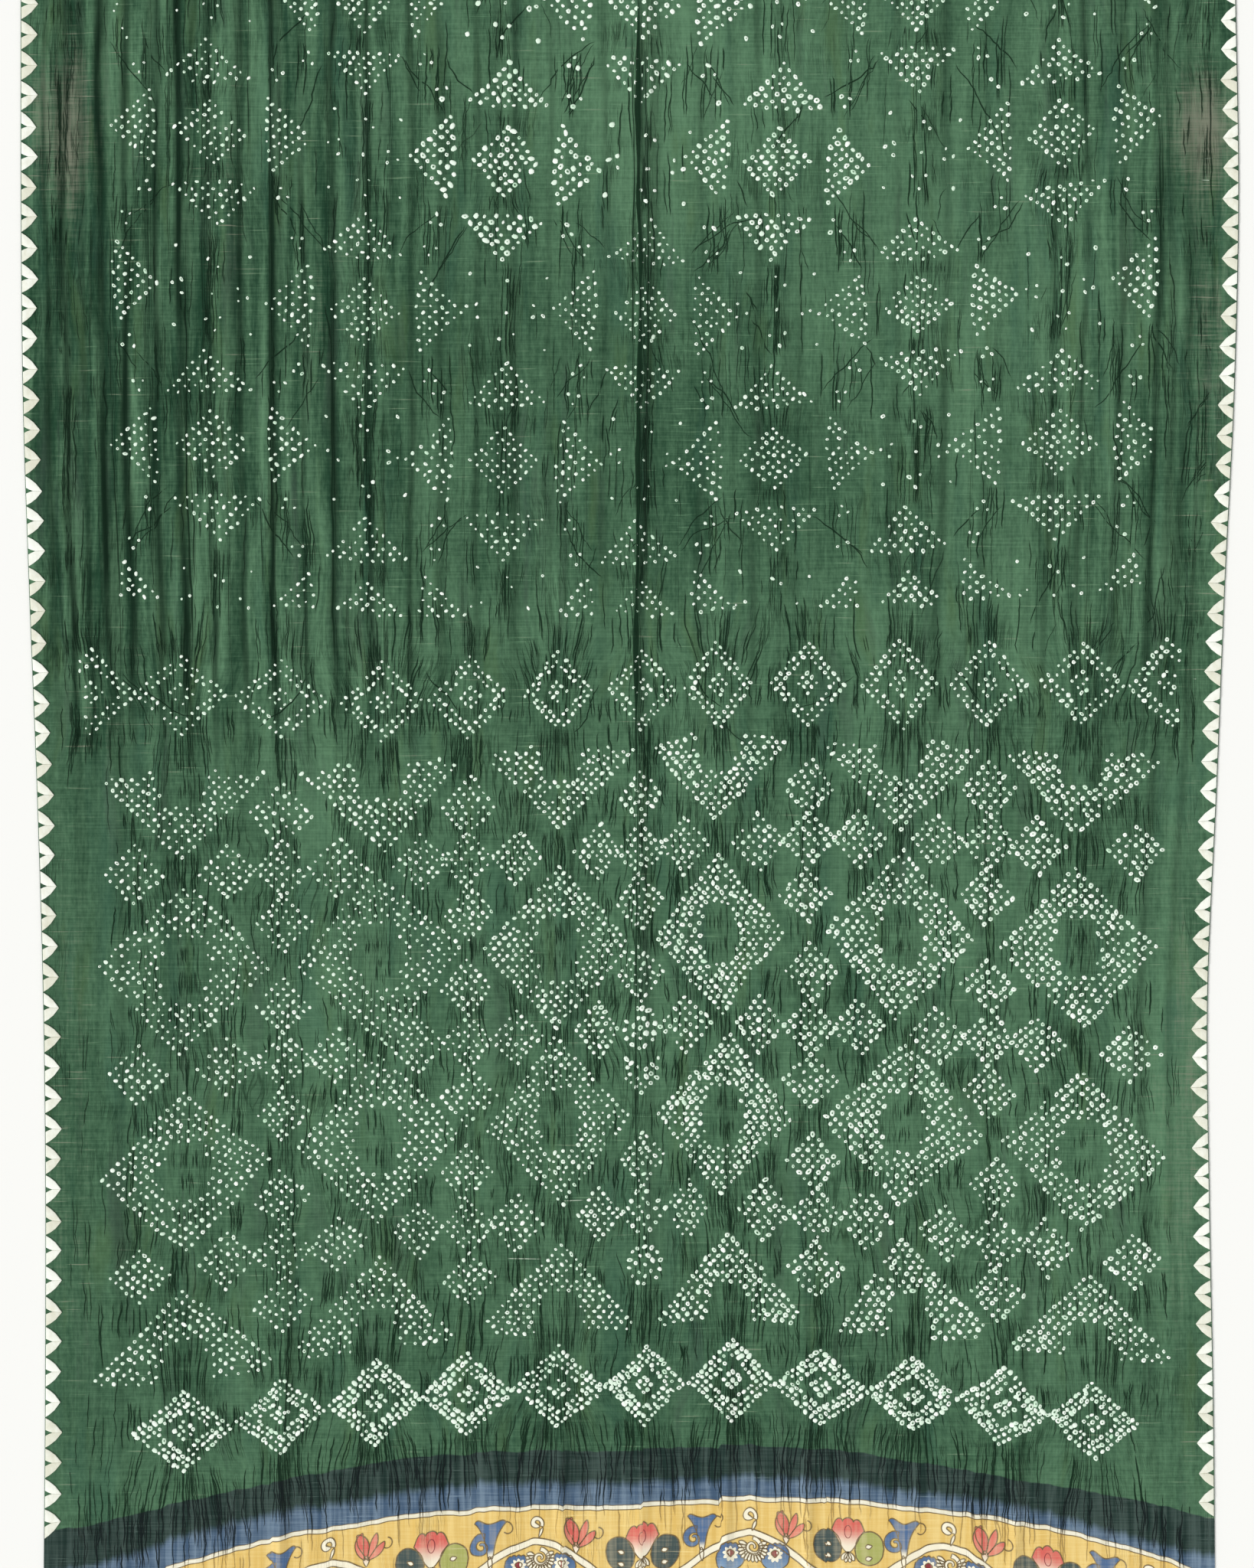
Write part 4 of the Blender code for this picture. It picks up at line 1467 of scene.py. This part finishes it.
def buildPainting(material):
    canvas = {"points": [], "levels": [], "paints": [], "quads": [], "count": 0, "spot": (0.0, 0.0, 1.0, 1)}
    centres = np.array(painting["archCentres"])
    numbers = np.arange(len(centres))
    random = np.random.default_rng(31)
    across = np.arange(-460.0, 461.0, 1.5)
    phase = np.interp(across * millimetre, centres, numbers)
    drop = painting["vineTop"] + 0.5 * painting["vineFall"] * (1.0 - np.cos(2.0 * math.pi * phase))
    vineHalf = np.full(len(across), painting["vineHalf"])
    brushLine(canvas, np.stack([across, -drop, vineHalf], axis=1), "vine", "cream")
    for arch in range(len(centres) + 1):
        for kind, shift, low, mirror in paintedItems:
            middle = float(np.interp(arch + shift, numbers, centres))
            if not 0.0 <= arch + shift <= numbers[-1] or abs(middle) > 0.43:
                continue
            low = low * random.uniform(0.94, 1.06)
            canvas["spot"] = (middle, low, 0.96 * random.uniform(0.94, 1.06), mirror)
            if kind == "leaf" and mirror < 0 and arch % 2 == 0:
                paintLeaf(canvas, "olive")
            else:
                painters[kind](canvas)
    points = np.concatenate(canvas["points"])
    quads = np.concatenate(canvas["quads"])
    along = np.maximum(points[:, 1], -halfLength + sheet["hemWidth"] + 0.0012)
    left, right = edgesAt(along)
    across = np.clip(points[:, 0], left + 0.012, right - 0.012)
    corners = np.stack([across, along], axis=1)[quads]
    one = corners[:, 2] - corners[:, 0]
    two = corners[:, 3] - corners[:, 1]
    spread = one[:, 0] * two[:, 1] - one[:, 1] * two[:, 0]
    quads = np.where((spread < 0.0)[:, None], quads[:, ::-1], quads)
    quads = quads[np.abs(spread) > 1e-12]
    rise = laidTop(across, along) + np.concatenate(canvas["levels"])
    mesh = bpy.data.meshes.new("paintedFlowers")
    mesh.from_pydata(np.stack([across, along, rise], axis=1).tolist(), [], quads.tolist())
    writeDyeAndShade(mesh, across, along)
    setPointValues(mesh, "painted", np.ones(len(points)))
    layer = mesh.attributes.new("paint", "FLOAT_COLOR", "POINT")
    layer.data.foreach_set("color", np.concatenate(canvas["paints"]).astype(np.float32).ravel())
    mesh.shade_smooth()
    addPiece("paintedFlowers", mesh, material)
    return len(quads)


# Tied dots
dots = {
    "radius": 1.72,  # mm
    "smallest": 0.64,
    "largest": 1.27,
    "stretch": 0.38,
    "lift": 0.00075,
    "sink": 0.00020,
    "sides": 8,
}


def motifDots(kind):
    step = motifs["latticeStep"]
    makers = {
        "fourPointed": lambda: fourPointedDots(),
        "sparse": lambda: sparseMotif,
        "frameHigh": lambda: framedDots(9, step * 0.96, 2),
        "frameLow": lambda: framedDots(11, step * 0.83, 2) * np.array([1.05, 0.88]),
        "wreath": lambda: wreathDots(16, step, motifs["wreathHole"]),
        "small": lambda: diamondDots(6, step * 1.02),
        "smallSparse": lambda: diamondDots(5, step * 1.22),
        "rosette": lambda: rosetteDots(),
        "chevron": lambda: chevronDots(),
    }
    return makers[kind]()


def dotSize(kind, place, along):
    # how large a motif's dots are beside the usual ones
    if kind in ("fourPointed", "sparse"):
        if 0.35 < place < 0.66 and along > 0.45:
            return 1.20
        return 0.84 + 0.14 * smoothStep((place - 0.5) / 0.3) + 0.10 * smoothStep((0.2 - place) / 0.1)
    if kind == "frameLow":
        return 1.14
    if kind in ("smallSparse", "rosette", "chevron"):
        return 1.22
    if kind == "frameHigh":
        return 0.84 + 0.16 * smoothStep((place - 0.35) / 0.3)
    return 0.95 + 0.15 * smoothStep((place - 0.44) / 0.14)


def tieDots():
    # every dot: across, along, size factor, kind number
    random = np.random.default_rng(5)
    found = []
    for motif in motifList:
        kind, place, knots, heights, shift, part, squeeze = motif
        offsets = motifDots(kind) * (np.array([squeeze, 1.0]) + random.normal(0.0, motifs["unevenness"], 2))
        turn = math.radians(random.normal(0.0, motifs["turn"]))
        offsets = offsets @ np.array([[math.cos(turn), math.sin(turn)], [-math.sin(turn), math.cos(turn)]])
        centreX, centreY = motifCentre(motif)
        across = centreX + offsets[:, 0] * millimetre
        rowShift = bow(knots, heights, placeOf(across, centreY)) - bow(knots, heights, place)
        along = centreY + (offsets[:, 1] + 0.8 * rowShift) * millimetre
        keep = random.uniform(0.0, 1.0, len(offsets)) > motifs["missing"]
        if part == "lowerHalf":
            keep &= offsets[:, 1] < 8.0 - np.abs(offsets[:, 0]) * 0.12
        if part == "upperHalf":
            keep &= offsets[:, 1] > -8.0
        if part == "rightHalf":
            keep &= offsets[:, 0] > -10.0
        if part == "leftHalf":
            keep &= offsets[:, 0] < 10.0
        if kind in ("fourPointed", "sparse"):
            lowest = bow(upperKnots, upperRows[4], placeOf(across, along)) * millimetre
            keep &= along > lowest
        left, right = edgesAt(along)
        margin = motifs["upperMargin"] if kind in ("fourPointed", "sparse") else motifs["lowerMargin"]
        keep &= (across - left > margin) & (right - across > margin - motifs["rightMarginLess"])
        keep &= along < halfLength - 0.016
        size = dotSize(kind, place, centreY)
        pieces = "fieldLeft" if centreX < 0.0 else "fieldRight"
        if "frame" in kind:
            pieces = "border"
        if kind in ("fourPointed", "sparse"):
            pieces = "upper"
        for number in np.nonzero(keep)[0]:
            found.append((across[number], along[number], size, kind, pieces))
    return found


def dotTemplate():
    # one tied dot: a low puckered mound, its rim under the cloth's face
    bm = bmesh.new()
    bmesh.ops.create_circle(bm, cap_ends=True, segments=dots["sides"], radius=1.0)
    face = bm.faces[:]
    bmesh.ops.inset_individual(bm, faces=face, thickness=0.24)
    bmesh.ops.inset_individual(bm, faces=face, thickness=0.40)
    bmesh.ops.poke(bm, faces=face)
    return takeTemplate(bm)


def dotMaterial():
    material, tree, shader = newMaterial("undyedDots", 0.9, sheen=0.05, specular=0.15)
    place = newNode(tree, "ShaderNodeTexCoord").outputs["Object"]
    radial = attributeNode(tree, "radial").outputs["Fac"]
    hollow = attributeNode(tree, "hollow").outputs["Fac"]
    tint = attributeNode(tree, "tint").outputs["Fac"]
    rough = minus(tree, noiseNode(tree, place, 900.0, 900.0, detail=2.0), 0.5)
    edge = scaledAdd(tree, rough, 0.35, radial)
    cream = mixNode(tree, tint, rgb(196, 230, 200), rgb(248, 255, 245))
    heart = mixNode(tree, tint, rgb(60, 92, 66), rgb(106, 140, 108))
    soft = rampNode(tree, minus(tree, hollow, edge), -0.07, 0.10)
    colour = mixNode(tree, soft, cream, heart)
    # dark rim round each dot: partly dye pooled at its edge, partly painted shadow of the mound
    colour = mixNode(tree, rampNode(tree, edge, 0.84, 1.02), colour, rgb(54, 88, 62))
    tree.links.new(colour, shader.inputs["Base Color"])
    normal = bumpNode(tree, rough, 0.4, 0.0004)
    tree.links.new(normal, shader.inputs["Normal"])
    return material


def buildDots():
    found = tieDots()
    outline, triangles = dotTemplate()
    outline = outline[:, :2]
    material = dotMaterial()
    random = np.random.default_rng(9)
    total = 0
    for group in ("upper", "fieldLeft", "fieldRight", "border"):
        rows = [row for row in found if row[4] == group]
        count = len(rows)
        total += count
        across = np.array([row[0] for row in rows])
        along = np.array([row[1] for row in rows])
        factor = np.array([row[2] for row in rows])
        drift = motifs["drift"] * millimetre
        jitter = motifs["jitter"] * millimetre
        shiftX = drift * softNoise(across, along, 0.027, 0.031, 51) + random.normal(0.0, jitter, count) * 0.8
        shiftY = drift * softNoise(across, along, 0.029, 0.026, 52) + random.normal(0.0, jitter, count) * 0.8
        across = across + shiftX
        along = along + shiftY
        patchy = 1.0 + 0.13 * softNoise(across, along, 0.055, 0.050, 53)
        size = dots["radius"] * millimetre * factor * patchy
        size = size * random.uniform(dots["smallest"], dots["largest"], count)
        stretch = 1.0 + dots["stretch"] * random.uniform(0.0, 1.0, count) ** 1.5
        lean = np.where(random.uniform(0.0, 1.0, count) < 0.5, 0.25, 0.75) * math.pi
        lean = lean + random.normal(0.0, 0.45, count)
        wobble = random.uniform(0.84, 1.12, (count, len(outline)))
        localX = outline[None, :, 0] * wobble * (size * stretch)[:, None]
        localY = outline[None, :, 1] * wobble * (size / np.sqrt(stretch))[:, None]
        pointX = across[:, None] + localX * np.cos(lean)[:, None] - localY * np.sin(lean)[:, None]
        pointY = along[:, None] + localX * np.sin(lean)[:, None] + localY * np.cos(lean)[:, None]
        radial = np.hypot(outline[:, 0], outline[:, 1])
        profile = np.interp(radial, [0.0, 0.36, 0.76, 1.0], [0.60, 1.0, 0.62, 0.0])
        ground = laidTop(pointX.ravel(), pointY.ravel()).reshape(count, -1)
        rise = ground + profile[None, :] * dots["lift"] * (0.7 + 0.5 * wobble) - dots["sink"]
        corners = np.stack([pointX, pointY, rise], axis=2).reshape(-1, 3)
        faces = (triangles[None, :, :] + (np.arange(count) * len(outline))[:, None, None]).reshape(-1, 3)
        mesh = bpy.data.meshes.new(f"tiedDots_{group}")
        mesh.from_pydata(corners.tolist(), [], faces.tolist())
        place = placeOf(across, along)
        ringed = np.clip(0.42 + 0.55 * smoothStep((place - 0.35) / 0.4), 0.0, 1.0)
        ringed = np.where(group == "border", ringed * 0.7, ringed)
        hollow = np.where(random.uniform(0.0, 1.0, count) < ringed, random.uniform(0.16, 0.40, count), -0.5)
        tint = np.clip(random.normal(0.62, 0.22, count), 0.0, 1.0)
        setPointValues(mesh, "radial", np.tile(radial, count))
        setPointValues(mesh, "hollow", np.repeat(hollow, len(outline)))
        setPointValues(mesh, "tint", np.repeat(tint, len(outline)))
        mesh.shade_smooth()
        addPiece(f"tiedDots_{group}", mesh, material)
    return total


# Folded white edging
edging = {
    "thickness": 0.0009,
    "gap": 0.0001,
    "depth": 0.0128,
    "inside": 0.0006,  # the cloth's own edge shows outside the edging
    "tipHalf": 0.0014,
    "tipFall": 0.0010,
    "bulge": 0.0008,
    "openDepth": 0.0052,
    "openWidth": 0.0048,
}
# name, side, pitch, its lower end, points, node that it replaces
edgingRows = [
    ("foldedPointsLeft", -1, 0.0246, -0.6113, 52, "edging_left"),
    ("foldedPointsRight", 1, 0.0240, -0.5933, 52, "edging_right"),
]


def foldedPointTemplate(pitch):
    # two folded flaps that meet along the middle; (inset, along, up) from the foot of the point
    half = 0.5 * pitch
    bm = bmesh.new()
    for side in (-1, 1):
        outline = [
            (0.0, side * (half - 0.0003)),
            (edging["depth"] * 0.28, side * (half * 0.80)),
            (edging["depth"] * 0.55 + edging["bulge"], side * half * 0.52),
            (edging["depth"] - edging["tipFall"], side * edging["tipHalf"]),
            (edging["depth"], side * 0.00005),
            (edging["depth"] * 0.72, side * 0.00005),
            (edging["openDepth"], side * 0.00010),
            (edging["openDepth"] * 0.45, side * edging["openWidth"] * 0.24),
            (0.0, side * edging["openWidth"] * 0.5),
        ]
        verts = [bm.verts.new((inset, along, 0.0)) for inset, along in outline]
        face = bm.faces.new(verts)
        lifted = bmesh.ops.extrude_face_region(bm, geom=[face])["geom"]
        raised = [item for item in lifted if isinstance(item, bmesh.types.BMVert)]
        bmesh.ops.translate(bm, verts=raised, vec=(0.0, 0.0, edging["thickness"]))
        top = [edge for edge in bm.edges if edge.verts[0] in raised and edge.verts[1] in raised]
        bmesh.ops.bevel(
            bm, geom=top, offset=0.00032, segments=2, profile=0.5, affect="EDGES", material=-1,
        )
    bmesh.ops.recalc_face_normals(bm, faces=bm.faces)
    return takeTemplate(bm)


def edgingMaterial():
    material, tree, shader = newMaterial("whiteCotton", 0.82, sheen=0.15, specular=0.2)
    place = newNode(tree, "ShaderNodeTexCoord").outputs["Object"]
    tint = attributeNode(tree, "tint").outputs["Fac"]
    weave = placeGroup(tree, groups["weave"], Place=place)
    cloud = noiseNode(tree, place, 260.0, 180.0, detail=3.0)
    # tint: random tone and painted shade of the lower flaps
    shade = scaledAdd(tree, centred(tree, cloud), 0.8, tint)
    colour = mixNode(tree, rampNode(tree, shade, 0.1, 0.9), rgb(226, 226, 206), rgb(250, 253, 243))
    tree.links.new(colour, shader.inputs["Base Color"])
    normal = bumpNode(tree, cloud, 0.35, 0.0007)
    normal = bumpNode(tree, weave["Height"], 0.35, 0.0002, normal)
    tree.links.new(normal, shader.inputs["Normal"])
    return material


def buildEdging(row, material):
    name, side, pitch, start, count, node = row
    random = np.random.default_rng(70 + side)
    template, triangles = foldedPointTemplate(pitch)
    corners = []
    faces = []
    tintsAndFlapShade = []
    for number in range(count):
        middle = start + (number + 0.5) * pitch
        deep = random.uniform(0.92, 1.06)
        wide = random.uniform(0.97, 1.0)
        lean = random.normal(0.0, 0.06)
        inset = template[:, 0] * deep
        along = middle + template[:, 1] * wide + inset * lean
        tilt = random.uniform(0.0, 0.00025)
        up = template[:, 2] + np.where(template[:, 1] > 0.0, tilt, 0.0) * (template[:, 2] > 0.0)
        edge = edgesAt(along)[0 if side < 0 else 1]
        across = edge - side * (inset + edging["inside"])
        base = len(template) * number
        corners.append(np.stack([across, along, laidTop(across, along) + edging["gap"] + up], axis=1))
        faces.append(triangles + base)
        # random tone, and painted shade on each point's lower flap
        tone = random.uniform(0.35, 0.9) + np.where(template[:, 1] > 0.0, 0.0, -0.15)
        tintsAndFlapShade.append(tone)
    corners = np.concatenate(corners)
    mesh = bpy.data.meshes.new(name)
    mesh.from_pydata(corners.tolist(), [], np.concatenate(faces).tolist())
    setPointValues(mesh, "tint", np.concatenate(tintsAndFlapShade))
    if side > 0:
        mesh.flip_normals()
    mesh.shade_smooth()
    mesh.set_sharp_from_angle(angle=math.radians(38.0))
    piece = addPiece(name, mesh, material)
    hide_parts(node)
    return piece


def main():
    buildStudio(studio)
    print("studio ready")
    dyed = clothMaterial()
    cloth = buildCloth(dyed)
    print("cloth laid:", len(cloth.data.polygons), "faces")
    print("creases drawn:", buildCreases(dyed))
    print("pleats drawn:", buildPleatShades(dyed))
    print("flowers painted:", buildPainting(dyed), "faces")
    print("dots tied:", buildDots())
    white = edgingMaterial()
    trims = [buildEdging(row, white) for row in edgingRows]
    print("edging sewn:", len(trims))


main()
